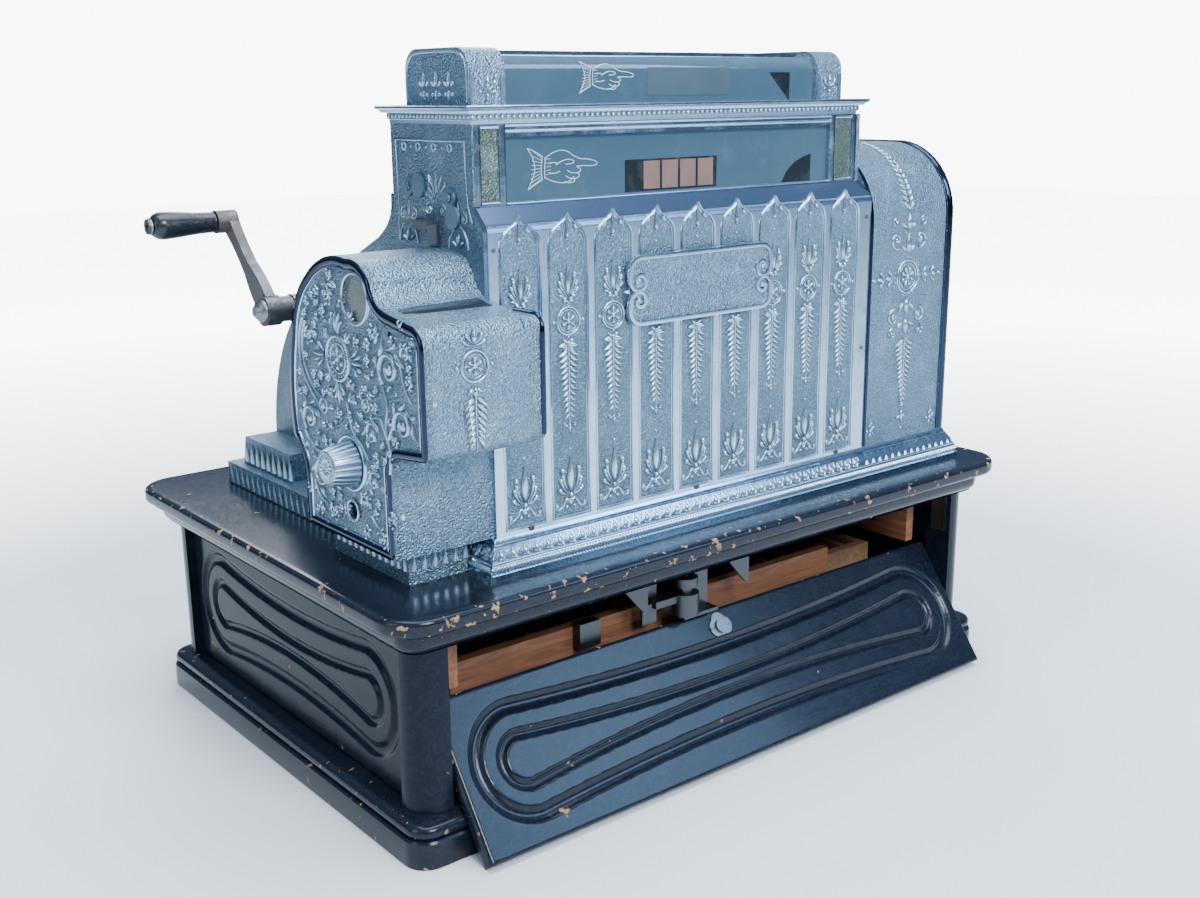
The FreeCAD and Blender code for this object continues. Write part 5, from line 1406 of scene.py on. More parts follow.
# %% [markdown]
# The printer's side plate is covered with scrollwork inside a dark polished rim. The rim has to
# follow the plate's own outline, so that outline is read from the frame: the border edges of
# the flat outer face, joined end to end. The scrolls are drawn with across running towards the
# customer, as they look from the left.

# %% The outline of a flat face, and paths inside it
def face_outline(node, side):
    """The longest outline of a piece's flat face at x = side, as (towards customer, up)."""
    mesh = nodes[node].data
    spots = [tuple(round(value / MM, 2) for value in vertex.co) for vertex in mesh.vertices]
    border = {}
    for polygon in mesh.polygons:
        corners = [spots[number] for number in polygon.vertices]
        if max(abs(corner[0] - side) for corner in corners) > 0.05:
            continue
        flat = [(-corner[1], corner[2]) for corner in corners]
        for start, end in zip(flat, flat[1:] + flat[:1]):
            if (end, start) in border:
                del border[(end, start)]
            else:
                border[(start, end)] = True
    follow = dict(border.keys())
    loops = []
    while follow:
        start, here = follow.popitem()
        loop = [start]
        while here in follow:
            loop.append(here)
            here = follow.pop(here)
        loops.append(loop)
    return max(loops, key=lambda loop: sum(math.dist(a, b) for a, b in zip(loop, loop[1:])))


def evenly(path, spacing):
    """A closed path with points at equal steps."""
    path = np.array(path)
    ends = np.vstack([path, path[:1]])
    gaps = np.linalg.norm(np.diff(ends, axis=0), axis=1)
    along = np.concatenate([[0], np.cumsum(gaps)])
    count = max(int(along[-1] / spacing), 8)
    wanted = np.linspace(0, along[-1], count, endpoint=False)
    return np.stack([np.interp(wanted, along, ends[:, i]) for i in (0, 1)], axis=1)


def drawn_in(path, inset, smooth=2):
    """A closed path moved inwards."""
    path = np.array(path)
    ahead = np.roll(path, -1, axis=0)
    turn = np.sum(path[:, 0] * ahead[:, 1] - ahead[:, 0] * path[:, 1])
    step = ahead - np.roll(path, 1, axis=0)
    for _ in range(smooth):
        step = step + np.roll(step, 1, axis=0) + np.roll(step, -1, axis=0)
    step /= np.linalg.norm(step, axis=1)[:, None]
    inward = np.stack([-step[:, 1], step[:, 0]], axis=1) * (1 if turn > 0 else -1)
    return path + inward * inset


def on_left_face(side):
    """A wall that faces left, at x = side, with across running towards the customer."""
    return lambda across, up, height: (side - height, -across, up)


# %% The plate's dark rim and its bright inner line
plate_face = plate_low[0] + 1.2
KNOB_SPOT, BUSH_SPOT, WINDOW_SPOT = (132.0, 292.5), (132.0, 255.8), (151.0, 417.0)
plate_line = evenly(face_outline("printer_plate", plate_face), 2.6)
plate_rim = Carving()
plate_rim.stroke(drawn_in(plate_line, 3.7), 3.5, 1.5, FLAT_BACK, closed=True)
carved("printer_rim", plate_rim, on_left_face(plate_face), "polished_nickel", material=RIM_BLUE)
inner_rim = Carving()
inner_rim.stroke(drawn_in(plate_line, 8.1), 0.6, 1.2, closed=True)
carved("printer_inner_line", inner_rim, on_left_face(plate_face), "polished_nickel", material=BRIGHT)
print("rim follows", len(plate_line), "points")


# %% Scrollwork of the printer's plate
def leafy_curl(work, across, up, radius, start, sweep, leaves=4):
    """A scroll with small leaves that spring from its back."""
    curl(work, across, up, radius, start, sweep, radius * 0.13 + 0.5, 2.1, 20)
    way = 1 if sweep > 0 else -1
    for number in range(leaves):
        turn = start + way * (35 + number * 200 / leaves)
        base = around(across, up, radius, math.radians(turn))
        tip = around(across, up, radius * 1.5, math.radians(turn + way * 38))
        leaf(work, base, tip, radius * 0.13 + 0.35, 1.7, 0.22 * way, number % 2 == 0)
    inside = math.radians(start + sweep * 0.62)
    work.bead(*around(across, up, radius * 0.62, inside + 0.7), radius * 0.11 + 0.5, 1.5)


def leaf_fan(work, across, up, radius, middle, spread, count, width):
    """Leaves that open like a fan, the middle one longest."""
    for number in range(count):
        share = number / (count - 1) - 0.5
        angle = math.radians(middle + spread * share)
        base = around(across, up, radius * 0.22, angle)
        tip = around(across, up, radius * (1 - 0.55 * abs(share)), angle)
        leaf(work, base, tip, width, 2.1, -0.35 * share, share != 0)


# %% Where the scrolls, stems and fans lie on the printer's plate
plate_work = Carving()
PLATE_SCROLLS = (     # across, up, radius, start and sweep
    (193.3, 372.1, 14.6, 235, -430), (217.0, 386.0, 6.4, 200, -390),
    (208.9, 334.3, 12.6, 200, -430), (165.6, 321.0, 9.6, 20, 420),
    (71.5, 316.6, 11.8, 235, -430), (85.6, 274.3, 12.6, 60, 430),
    (165.6, 285.4, 8.4, 30, 410), (151.6, 266.5, 6.2, 200, -400),
    (103.3, 249.9, 6.2, 120, 400), (78.8, 247.0, 5.6, 60, -400),
    (173.0, 243.0, 6.2, 150, -400), (152.2, 243.0, 4.6, 30, 380),
    (174.4, 394.3, 5.8, 300, 400), (77.8, 383.2, 5.8, 90, 400),
    (107.8, 417.0, 7.2, 120, -400), (188.0, 262.0, 5.2, 90, -400),
    (219.0, 366.0, 4.6, 250, 380), (124.5, 255.5, 4.6, 250, -380),
)
for scroll in PLATE_SCROLLS:
    leafy_curl(plate_work, *scroll)
medallion(plate_work, 120.7, 369.9, 16.6, 11.2)
ring_of_beads(plate_work, 120.7, 369.9, 13.9, 20, 0.9, 1.1)
for middle, spread, reach in ((90, 70, 34), (270, 70, 30), (0, 66, 34), (180, 66, 34),
                              (45, 40, 26), (135, 40, 26), (225, 40, 24), (315, 40, 24)):
    angle = math.radians(middle)
    start = (120.7 + 17.5 * math.cos(angle), 369.9 + 17.5 * math.sin(angle))
    leaf_fan(plate_work, start[0] - 3 * math.cos(angle), start[1] - 3 * math.sin(angle),
             reach - 10, middle, spread, 5 if middle % 90 == 0 else 3, 1.6)
STEMS = (
    ((189, 296), (191, 312), (186, 330), (189, 344), (184, 358)),
    ((189, 318), (178, 334), (166, 332)), ((190, 322), (196, 334), (200, 345)),
    ((62, 306), (68, 298), (82, 293), (96, 296), (104, 304)),
    ((69, 395), (61, 377), (64, 352), (80, 334), (90, 330)),
    ((73, 393), (66, 377), (69, 355), (84, 339), (95, 336)),
    ((74, 268), (80, 256), (92, 252)), ((176, 283), (186, 276), (188, 267)),
    ((132, 338), (138, 318), (150, 308), (158, 300)), ((160, 258), (166, 252), (172, 250)),
    ((203, 384), (210, 376), (214, 362), (222, 352)),
)
for points in STEMS:
    line = flowing(points, 5)
    plate_work.stroke(line, np.linspace(1.7, 0.7, len(line)), 1.8)
for across, up, size in ((158.9, 341, 4.6), (94.4, 329.9, 5.6)):
    ring(plate_work, across, up, size, 0.9, 1.4, 20)
    plate_work.bead(across, up, size * 0.62, 2.4, 12)
for across, up, turn in ((189, 306, 60), (186, 300, 130), (184, 312, 150), (190, 330, 40),
                         (100, 300, 20), (66, 300, 250), (140, 330, 200), (142, 400, 60),
                         (95, 404, 130), (210, 402, 50), (222, 398, 330), (68, 262, 210),
                         (134, 302, 90), (60, 340, 230), (178, 352, 160), (150, 352, 300)):
    leaf_fan(plate_work, across, up, 9.5, turn, 80, 3, 1.25)
chance = random.Random(7)
for across, up in ((146, 383), (136, 402), (104, 396), (152, 366), (86, 356), (98, 318),
                   (112, 314), (126, 308), (178, 306), (202, 356), (200, 304), (204, 396),
                   (72, 290), (92, 288), (180, 236), (160, 236), (90, 236), (118, 238)):
    plate_work.bead(across, up, chance.uniform(1.0, 1.7))


# %% [markdown]
# The engraver left no ground empty. So a grid of spots is tried over the plate: where a spot is
# inside the outline, clear of the edge, of the knob, bush and window, and of what is drawn, it
# takes a small scroll or a fan of leaves. The seed is fixed, so each run draws the same.

# %% Small scrolls wherever the plate is still empty
PLATE_HOLES = ((KNOB_SPOT, 27), (BUSH_SPOT, 13), (WINDOW_SPOT, 24))


def filled_in(work, outline, spacing, margin, clear, dice):
    """Small scrolls and leaves wherever the ground inside an outline is still empty."""
    outline = np.array(outline)
    low, high = outline.min(axis=0), outline.max(axis=0)
    ahead = np.roll(outline, -1, axis=0)
    slope = (ahead - outline)[:, 0] / ((ahead - outline)[:, 1] + 1e-9)
    for across in np.arange(low[0], high[0], spacing):
        for up in np.arange(low[1], high[1], spacing):
            spot = np.array((across + dice.uniform(-2, 2), up + dice.uniform(-2, 2)))
            crossing = (outline[:, 1] > spot[1]) != (ahead[:, 1] > spot[1])
            at = outline[:, 0] + (spot[1] - outline[:, 1]) * slope
            inside = np.count_nonzero(crossing & (at > spot[0])) % 2
            to_edge = np.min(np.linalg.norm(outline - spot, axis=1))
            at_hole = any(math.dist(spot, hole) < reach for hole, reach in PLATE_HOLES)
            if not inside or to_edge < margin or at_hole:
                continue
            gap = np.min(np.linalg.norm(np.array(work.points)[:, :2] - spot, axis=1))
            if gap < clear:
                continue
            size = min(gap * 0.85, 5.4)
            turn = dice.uniform(0, 360)
            if dice.random() < 0.6:
                leafy_curl(work, *spot, size * 0.75, turn, dice.choice((-400, 400)), 3)
            else:
                leaf_fan(work, *spot, size * 1.2, turn, 90, 3, 1.3)


filled_in(plate_work, plate_line, 6.5, 13.5, 4.2, random.Random(11))
carved("printer_scrollwork", plate_work, on_left_face(plate_face), "cast_nickel")


# %% [markdown]
# The feed knob is fluted: the same half-round rib stands round it twenty times. That is a rule,
# so the ribs are one mesh that a Geometry Nodes tree copies round the knob's axle.

# %% A tree that copies round an axle along x
def round_axle_tree():
    wheel = Copier("ring_of_copies", Centre="Vector", Count="Int")
    given = wheel.given
    points = wheel.put("GeometryNodePoints", Count=given["Count"], Radius=MM)
    number = wheel.put("GeometryNodeInputIndex").outputs[0]
    turn = wheel.times(wheel.calc("DIVIDE", number, given["Count"]), 2 * math.pi)
    spin = wheel.put("ShaderNodeCombineXYZ", X=turn)
    placed = wheel.put("GeometryNodeSetPosition", Geometry=points.outputs[0],
                       Position=given["Centre"])
    return wheel.copies(placed.outputs[0], given["Geometry"], Rotation=spin.outputs[0])


AROUND = round_axle_tree()


def carved_ring(name, work, place, centre, count, material, slot, body):
    """Copies of one carving round an axle. The carving is placed about the axle's own zero."""
    points = [place(*point) for point in work.points]
    obj = plain_object(name, points, work.faces, material, {"rise": work.rise}, 60)
    grow(obj, AROUND, Centre=tuple(value * MM for value in centre), Count=count, Material=material)
    return dress(obj, slot, body)


def turned(name, profile, centre, material, slot, body, stands_for=(), sides=48, sharp=40):
    """A piece turned about an axle along x. The profile is (along x, radius)."""
    points = [(along, *around(centre[1], centre[2], radius, 2 * math.pi * number / sides))
              for along, radius in profile for number in range(sides)]
    faces = skin_over(len(profile), sides)
    return make_piece(name, points, faces, material, slot, body, stands_for, sharp=sharp)


# %% The fluted feed knob and its collar
knob_centre = (0, -KNOB_SPOT[0], KNOB_SPOT[1])
knob_low, knob_high = span("feed_knob")
knob_end = knob_low[0]
knob_foot = -319.1
turned("knob_core", [(knob_high[0], 7.0), (knob_foot, 7.0), (knob_foot, 16.6),
                     (knob_foot - 2, 16.8), (-338, 13.2), (knob_end + 1.4, 12.6),
                     (knob_end + 0.6, 11.8), (knob_end + 0.9, 6.0)],
       knob_centre, SATIN, "polished_nickel", "knob", ("feed_knob",))


def along_knob(across, up, height):
    """Across goes round the knob, and up runs out along it on the cone."""
    radius = 16.4 - 0.18 * up + height
    return (knob_foot - up, radius * math.sin(across / 16), radius * math.cos(across / 16))


flute = Carving()
flute.stroke([(0, 0.6), (0, 4), (0, 12), (0, 18), (0, 20.6)], (2.1, 2.3, 1.9, 1.6, 0.9), 1.5)
carved_ring("knob_flutes", flute, along_knob, knob_centre, 20, SATIN, "polished_nickel", "knob")


def on_knob_end(across, up, height):
    return knob_end + 1.2 - height * 0.7, across, up


petal = Carving()
leaf(petal, (0, 3.2), (0, 11.2), 1.9, 1.6)
carved_ring("knob_petals", petal, on_knob_end, knob_centre, 14, CARVED, "polished_nickel", "knob")
knob_eye = Carving()
ring(knob_eye, *KNOB_SPOT, 2.7, 0.8, 1.2, 20)
knob_eye.bead(*KNOB_SPOT, 1.5, 1.0)
carved("knob_eye", knob_eye, on_left_face(knob_end + 1.4), "polished_nickel", "knob", CARVED)
collar = Carving()
ring(collar, *KNOB_SPOT, 20.6, 1.9, 1.8, 36)
ring(collar, *BUSH_SPOT, 8.1, 1.2, 1.8, 28)
ring(collar, *WINDOW_SPOT, 18.4, 1.5, 2.0, 40)
carved("plate_collars", collar, on_left_face(plate_face), "polished_nickel", material=BRIGHT)
print("printer's plate dressed")


# %% [markdown]
# The printer's shell shows a smaller ornament on its bulging front: a fleur, a ring with a
# rosette and a drooping spray, over the same pebbled ground, with a rivet at each side.

# %% The printer's front
bulge_work = Carving()
spray_middle = -278.6
leaf(bulge_work, (spray_middle, 392), (spray_middle, 402.5), 1.8, 1.8)
for base, tip, bend in (((0.6, 392), (6.5, 399.5), -0.2), ((1.0, 391), (9.4, 394.6), -0.2)):
    pair(bulge_work, spray_middle, leaf, base, tip, 1.4, 1.7, bend, True)
medallion(bulge_work, spray_middle, 376.4, 11.0, 8.4)
for across in (-14.6, 14.6):
    bulge_work.bead(spray_middle + across, 376.4, 1.6)
leaf(bulge_work, (spray_middle, 362), (spray_middle, 353), 2.0, 1.8)
pair(bulge_work, spray_middle, leaf, (0.6, 360), (7, 357), 1.5, 1.5, 0.2)
for number in range(7):
    start = 354 - 4.6 * number
    pair(bulge_work, spray_middle, leaf, (0.5, start), (10 - 0.7 * number, start - 9.5), 1.8, 2.0, 0.22)
bulge_work.stroke([(spray_middle, 356), (spray_middle, 316)], (1.0, 0.5), 1.3)
carved("printer_front_spray", bulge_work, on_wall("front", cover_low[1]), "cast_nickel")


# %% [markdown]
# The bulge ends at the right in a dark flange, and the ticket comes out of a slot on its back.
# Both follow the cover's own curve, so rays find that curve on the frame's piece first, and the
# carving is then laid along it. The slot itself is a dark strip on the cover: painted shade for
# its mouth.

# %% The bulge's flange and the ticket slot
def surface_path(node, across, along, down):
    """Where rays meet a piece: along gives the (y, z) starts and down is their direction."""
    shell = bmesh.new()
    shell.from_mesh(nodes[node].data)
    tree = BVHTree.FromBMesh(shell)
    shell.free()
    made = []
    for y, z in along:
        hit = tree.ray_cast(Vector((across * MM, y * MM, z * MM)), Vector(down), 0.3)[0]
        if hit:
            made.append((hit.y / MM, hit.z / MM))
    return made


def along_path(path):
    """A surface that follows a path of (y, z). Up is the length along it."""
    path = np.array(path)
    run = np.concatenate([[0], np.cumsum(np.linalg.norm(np.diff(path, axis=0), axis=1))])
    step = np.gradient(path, axis=0)
    step /= np.linalg.norm(step, axis=1)[:, None]

    def place(across, up, height):
        y, z = (np.interp(up, run, path[:, n]) for n in (0, 1))
        ahead, above = (np.interp(up, run, step[:, n]) for n in (0, 1))
        return across, y - above * height, z + ahead * height

    return place, run[-1]


front_rays = [(-300, z) for z in np.arange(319, 398, 3.0)]
top_rays = [(y, 520) for y in np.arange(-234, -206, 2.5)]
bulge_path = surface_path("printer_cover", -222, front_rays, (0, 1, 0))
bulge_path += [spot for spot in surface_path("printer_cover", -222, top_rays, (0, 0, -1))
               if spot[1] > bulge_path[-1][1] + 1]
on_bulge, bulge_run = along_path(bulge_path)
flange = Carving()
flange.stroke([(-219.6, up) for up in np.linspace(0, bulge_run, 40)], 2.3, 2.4)
carved("printer_flange", flange, on_bulge, "polished_nickel", material=RIM_BLUE)
slot_rays = [(y, 520) for y in np.arange(-206, -184, 1.5)]
slot_path = surface_path("printer_cover", -238, slot_rays, (0, 0, -1))
on_slot, slot_run = along_path(slot_path)
# The slot's mouth is a dark strip on the cover: painted shade.
slot_painted_shade = Carving()
slot_painted_shade.stroke([(across, slot_run / 2) for across in (-308, -296, -262, -238)],
                 [slot_run * share for share in (0.26, 0.4, 0.45, 0.49)], 0.5, FLAT_BACK)
carved("ticket_slot_mouth", slot_painted_shade, on_slot, "cast_nickel", material=PAINTED_SHADE)
print("bulge runs", round(bulge_run), "mm, slot", round(slot_run), "mm")


# %% [markdown]
# The cabinet stands on a cast foot: a plain fillet, a rope, a sloping band of egg and dart,
# and a second fillet. The foot itself is a moulding. The rope's strands and the eggs repeat,
# so each is drawn once and laid in a row.

# %% The cabinet's foot
tray_box = (tray_low[0], tray_high[0], tray_low[1], tray_high[1])
tray_profile = [(6, 202, 0), (0, 202, 0), (0, 205.4, 0), (1.6, 206.2, 0)]
tray_profile += rounded_profile(3.4, 209.4, 2.4, -70, 140, 0, 5)
tray_profile += [(3.2, 212.8, 0), (3.2, 214.4, 0), (5.0, 215.2, 0), (6.2, 219.5, 0), (9.2, 224.0, 0),
                 (9.4, 225.2, 0), (10.8, 225.8, 0), (11.2, 227.6, 0), (12.4, 229.6, 0), (24, 229.6, 0)]
moulding("cabinet_foot", tray_box, 2.5, tray_profile, BRIGHT, "cast_nickel",
         ("cabinet_plinth",), steps=4)

# How the sloping band and the rope lie, and how far in and how high each starts.
SLOPE = {"lean": 0.42, "climb": 0.9}
ROPE = {"swell": 0.7, "material": BRIGHT}
slope_in, slope_foot, rope_in, rope_up = 5.4, 215.0, 1.4, 209.4


def egg_and_dart():
    """One egg in its shell, with half a dart on each side."""
    work = Carving()
    leaf(work, (0, 1.2), (0, 9.2), 2.6, 2.4, steps=5)
    shell = [(-3.9, 9.4), (-4.1, 5.2), (-2.6, 1.6), (0, 0.5), (2.6, 1.6), (4.1, 5.2), (3.9, 9.4)]
    work.stroke(shell, 0.65, 1.6)
    leaf(work, (5.6, 9.6), (5.6, 0.6), 0.9, 1.5, steps=4)
    return work


def rope_strand():
    work = Carving()
    work.stroke([(-1.9, -2.4), (-0.6, -0.9), (0.6, 0.9), (1.9, 2.4)], (0.5, 1.0, 1.0, 0.5), 1.3)
    return work


def tooth(height, width):
    """A pointed tooth of the zigzag band, with a raised rib."""
    work = Carving()
    work.stroke([(0, 0), (0, height * 0.35), (0, height * 0.75), (0, height)],
                (width, width * 0.72, width * 0.3, 0.25), 1.6)
    return work


# %% The rows of the foot and the plinths
egg, strand = egg_and_dart(), rope_strand()
sloping_tooth, upright_tooth = tooth(10.4, 4.4), tooth(13, 4.4)
front_slope, left_slope = tray_low[1] + slope_in, tray_low[0] + slope_in
front_cord, left_cord = tray_low[1] + rope_in, tray_low[0] + rope_in
laid_row("front_eggs", egg, "front", front_slope, slope_foot, -233, 11.2, 37, **SLOPE)
laid_row("front_rope", strand, "front", front_cord, rope_up, -241, 3.1, 181, **ROPE)
laid_row("left_eggs", egg, "left", left_slope, slope_foot, -196, 11.2, 3, **SLOPE)
laid_row("left_rope", strand, "left", left_cord, rope_up, -201, 3.1, 10, **ROPE)
laid_row("drum_teeth", sloping_tooth, "front", front_slope, slope_foot, 188, 9.4, 14, **SLOPE)
laid_row("right_teeth", sloping_tooth, "right", tray_high[0] - slope_in, slope_foot, -194, 9.4, 40,
         **SLOPE)

step_low, step_high = span("left_plinth")
bench_side = step_low[0] + 9.3
laid_row("step_teeth", tooth(16, 5.2), "left", step_low[0], 203.5, step_low[1] + 7, 11.0, 22)
laid_row("bench_teeth", tooth(18, 5.2), "left", bench_side, 225.0, step_high[1] - 112, 11.0, 9)
under_low = span("printer_plinth")[0]
laid_row("printer_foot_teeth", upright_tooth, "front", under_low[1], 213.0, under_low[0] + 5, 9.2, 6)
laid_row("printer_side_teeth", upright_tooth, "left", under_low[0], 213.0, under_low[1] + 5, 9.2, 12)
print("foot mouldings laid")


# %% [markdown]
# The cornice is a moulding too, with a row of small beads under its lip. The dome's ends are
# plain castings here, so they get a bright frame line and a small fleur.

# %% Cornice, beads and the frame round the indicator
crown_low, crown_high = span("cornice")
crown_box = (crown_low[0], crown_high[0], crown_low[1], crown_high[1])
crown_profile = [(20, 536, 0), (8.8, 536, 0), (8.6, 538.4, 0), (7.6, 539.0, 0),
                 (7.4, 543.0, 0), (6.0, 543.6, 0)]
crown_profile += rounded_profile(6.0, 545.2, 2.6, -40, 40, 0, 3)
crown_profile += [(2.4, 545.6, 0), (0.6, 546.4, 0), (0, 547.2, 0), (0, 548.4, 0),
                  (0.8, 549, 0), (24, 549, 0)]
moulding("cornice_moulded", crown_box, 1.5, crown_profile, BRIGHT, "cast_nickel", ("cornice",), steps=3)
bead_work = Carving()
bead_work.bead(0, 0, 1.9, 1.9, 8)
for facing, face, first, count in (
        ("front", crown_low[1] + 7.6, crown_low[0] + 9, 80),
        ("back", crown_high[1] - 7.6, crown_low[0] + 9, 80),
        ("left", crown_low[0] + 7.6, crown_low[1] + 9, 22),
        ("right", crown_high[0] - 7.6, crown_low[1] + 9, 22)):
    laid_row("cornice_beads_" + facing, bead_work, facing, face, 541.0, first, 5.2, count)

house_y = frame_low[1]
frame_work = Carving()
for across, width in ((-228.2, 3.0), (-205.8, 2.8), (151.2, 2.8), (179.2, 3.0)):
    frame_work.stroke([(across, up) for up in (478, 492, 506, 520, 535.4)], width, 1.6, FLAT_BACK)
for up, width in ((478.4, 1.2), (530.6, 1.4), (534.6, 1.2)):
    frame_work.stroke([(across, up) for across in np.linspace(-203, 148.5, 12)], width, 1.4)
for up in (479.5, 533.5):
    for low, high in ((-225, -209), (154.5, 176)):
        frame_work.stroke([(low, up), ((low + high) / 2, up), (high, up)], 1.3, 1.2)
carved("indicator_fillets", frame_work, on_wall("front", house_y), "polished_nickel", material=BRIGHT)


def panel_on(name, low, high, bottom, top, depth, thick, material, slot="cast_nickel"):
    """A thin insert with chamfered edges on a wall that faces the customer."""
    edge = min(thick, 0.8)
    points = []
    for inset, out in ((0, 0.0), (0, thick - edge * 0.5), (edge, thick)):
        for across, up in ((low + inset, bottom + inset), (high - inset, bottom + inset),
                           (high - inset, top - inset), (low + inset, top - inset)):
            points.append((across, depth - out, up))
    return make_piece(name, points, skin_over(3, 4), material, slot, sharp=20)


panel_on("left_post_field", -224.5, -209.5, 481, 532, house_y + 0.1, 0.7, GREEN_PEBBLED)
panel_on("right_post_field", 154.8, 175.6, 481, 532, house_y + 0.1, 0.7, GREEN_PEBBLED)


# %% [markdown]
# Behind the glass are a pointing hand, as printers used it to say look here, and blank
# tablets in a clear window. The hand is drawn as thin white strokes on the glass. It is
# this script's own drawing: cuff, palm, thumb and one straight finger.

# %% The pointing hands
HAND = (
    ((0.24, 0.30), (0.34, 0.20), (0.50, 0.14), (0.60, 0.18), (0.66, 0.28)),
    ((0.24, 0.74), (0.32, 0.84), (0.44, 0.92), (0.56, 0.90), (0.66, 0.78), (0.76, 0.70)),
    ((0.76, 0.70), (0.88, 0.68), (0.99, 0.62), (1.0, 0.55), (0.94, 0.52), (0.80, 0.53),
     (0.70, 0.52)),
    ((0.70, 0.52), (0.76, 0.44), (0.72, 0.37), (0.62, 0.38), (0.56, 0.44)),
    ((0.71, 0.37), (0.74, 0.29), (0.68, 0.23), (0.59, 0.25), (0.54, 0.31)),
    ((0.66, 0.24), (0.67, 0.17), (0.60, 0.13), (0.52, 0.17)),
    ((0.40, 0.58), (0.48, 0.66), (0.58, 0.70), (0.66, 0.66), (0.64, 0.60), (0.54, 0.58)),
    ((0.30, 0.40), (0.38, 0.38), (0.46, 0.42)), ((0.30, 0.62), (0.36, 0.64), (0.42, 0.62)),
)
CUFF = (((0.24, 0.26), (0.24, 0.52), (0.25, 0.78)), ((0.20, 0.24), (0.19, 0.52), (0.21, 0.80)),
        ((0.20, 0.24), (0.10, 0.14), (0.0, 0.02)), ((0.21, 0.80), (0.10, 0.92), (0.0, 1.0)),
        ((0.0, 0.02), (0.07, 0.30), (0.10, 0.52), (0.07, 0.78), (0.0, 1.0)))


def pointing_hand(name, left, foot, wide, tall, depth):
    """White strokes on the glass, in a box that starts at left and foot."""
    work = Carving()

    def spot(point):
        return left + point[0] * wide, foot + point[1] * tall

    for line in HAND + CUFF:
        work.stroke(flowing([spot(point) for point in line], 4), 0.42, 0.25)
    for number in range(9):
        share = number / 8
        start = spot((0.02 + 0.16 * share * 0.4, 0.06 + 0.86 * share))
        end = spot((0.19, 0.27 + 0.5 * share))
        work.stroke([start, end], 0.26, 0.2)
    for number in range(5):
        up = 0.36 + 0.09 * number
        work.stroke([spot((0.26, up)), spot((0.33, up + 0.02))], 0.22, 0.2)
    return carved(name, work, on_wall("front", depth), "painted_glass", material=LINE_WHITE)


glass_front = span("indicator_glass")[0][1]
dome_front = span("dome_glass")[0][1]
pointing_hand("lower_hand", -180, 486.5, 66, 31, glass_front)
pointing_hand("upper_hand", -121, 556, 54, 24, dome_front)


# %% The clear windows with their blank tablets
FADED = tablet_paint("faded_tablet", (0.045, 0.075, 0.095), (0.03, 0.05, 0.065))
# The lower window's dark backing is painted shade: the dim inside, seen round and between the tablets.
panel_on("lower_window", -85.5, 14, 480.5, 505.5, glass_front, 0.25, PAINTED_SHADE, "painted_glass")
tablet_work = Carving()
tablet_work.stroke([(0, 482), (0, 488), (0, 496), (0, 504)], 9.65, 0.5, FLAT_BACK)
laid_row("blank_tablets", tablet_work, "front", glass_front, 0, -57.6, 19.6, 4, "tablet_paint",
         TABLET, 30)
panel_on("upper_window", -52, 39, 554, 576, dome_front, 0.3, FADED, "painted_glass")


def dark_notch(name, outline, front):
    """A flat dark shape on a pane, where the paint leaves the works in view: painted shade for the dim
    inside.
    """
    points = [(across, front + depth, up) for depth in (0.1, -0.35) for across, up in outline]
    make_piece(name, points, skin_over(2, len(outline)), PAINTED_SHADE, "painted_glass", sharp=20)


dark_notch("glass_notch", [(92, 480), (98, 489), (107, 496), (118, 500.5), (128, 503),
                           (128, 480)], glass_front)
dark_notch("dome_notch", [(86, 572), (111, 572), (111, 548)], dome_front)


# %% [markdown]
# The dome's two end castings carry a bright line round their outline and a small bud. Their
# left ends show the same buds three times under a shallow arch.

# %% Dome ends
cap_work = Carving()
for low, high in ((-226.0, -194.0), (140.6, 172.6)):
    for across in (low + 2.6, high - 2.6):
        cap_work.stroke([(across, up) for up in (549.5, 556, 563, 570)], 2.0, 1.2, FLAT_BACK)
    middle = (low + high) / 2
    leaf(cap_work, (middle, 560), (middle, 571), 1.8, 1.7)
    pair(cap_work, middle, leaf, (0.5, 560), (7, 567), 1.4, 1.6, -0.25, True)
    pair(cap_work, middle, leaf, (0.5, 559), (8, 559.5), 1.4, 1.6, -0.25, True)
    leaf(cap_work, (middle, 558), (middle, 551.5), 1.5, 1.4)
carved("dome_end_buds", cap_work, on_wall("front", span("dome_cap_left")[0][1]), "cast_nickel")

end_work = Carving()
for middle in (106, 122.7, 140):
    leaf(end_work, (middle, 562), (middle, 573), 1.8, 1.8)
    pair(end_work, middle, leaf, (0.5, 562), (6, 566), 1.3, 1.5, -0.25, True)
    pair(end_work, middle, Carving.bead, 4.4, 556.8, 1.7)
    leaf(end_work, (middle, 560), (middle, 553), 1.6, 1.5)
end_line = [(82.0, 551), (82.0, 572), (86, 582), (96, 586.6), (122.7, 587.2), (149, 586.6),
            (159.5, 582), (163.4, 572), (163.4, 551)]
end_work.stroke(flowing(end_line, 4), 1.3, 1.2)
carved("dome_left_end", end_work, on_left_face(-226.0), "cast_nickel")
print("indicator and dome dressed")


# %% [markdown]
# The left wall of the indicator housing shows a sunk panel with a palmette, pairs of scrolls
# and a row of rings under the cornice, partly hidden by the strap and the keyhole covers.

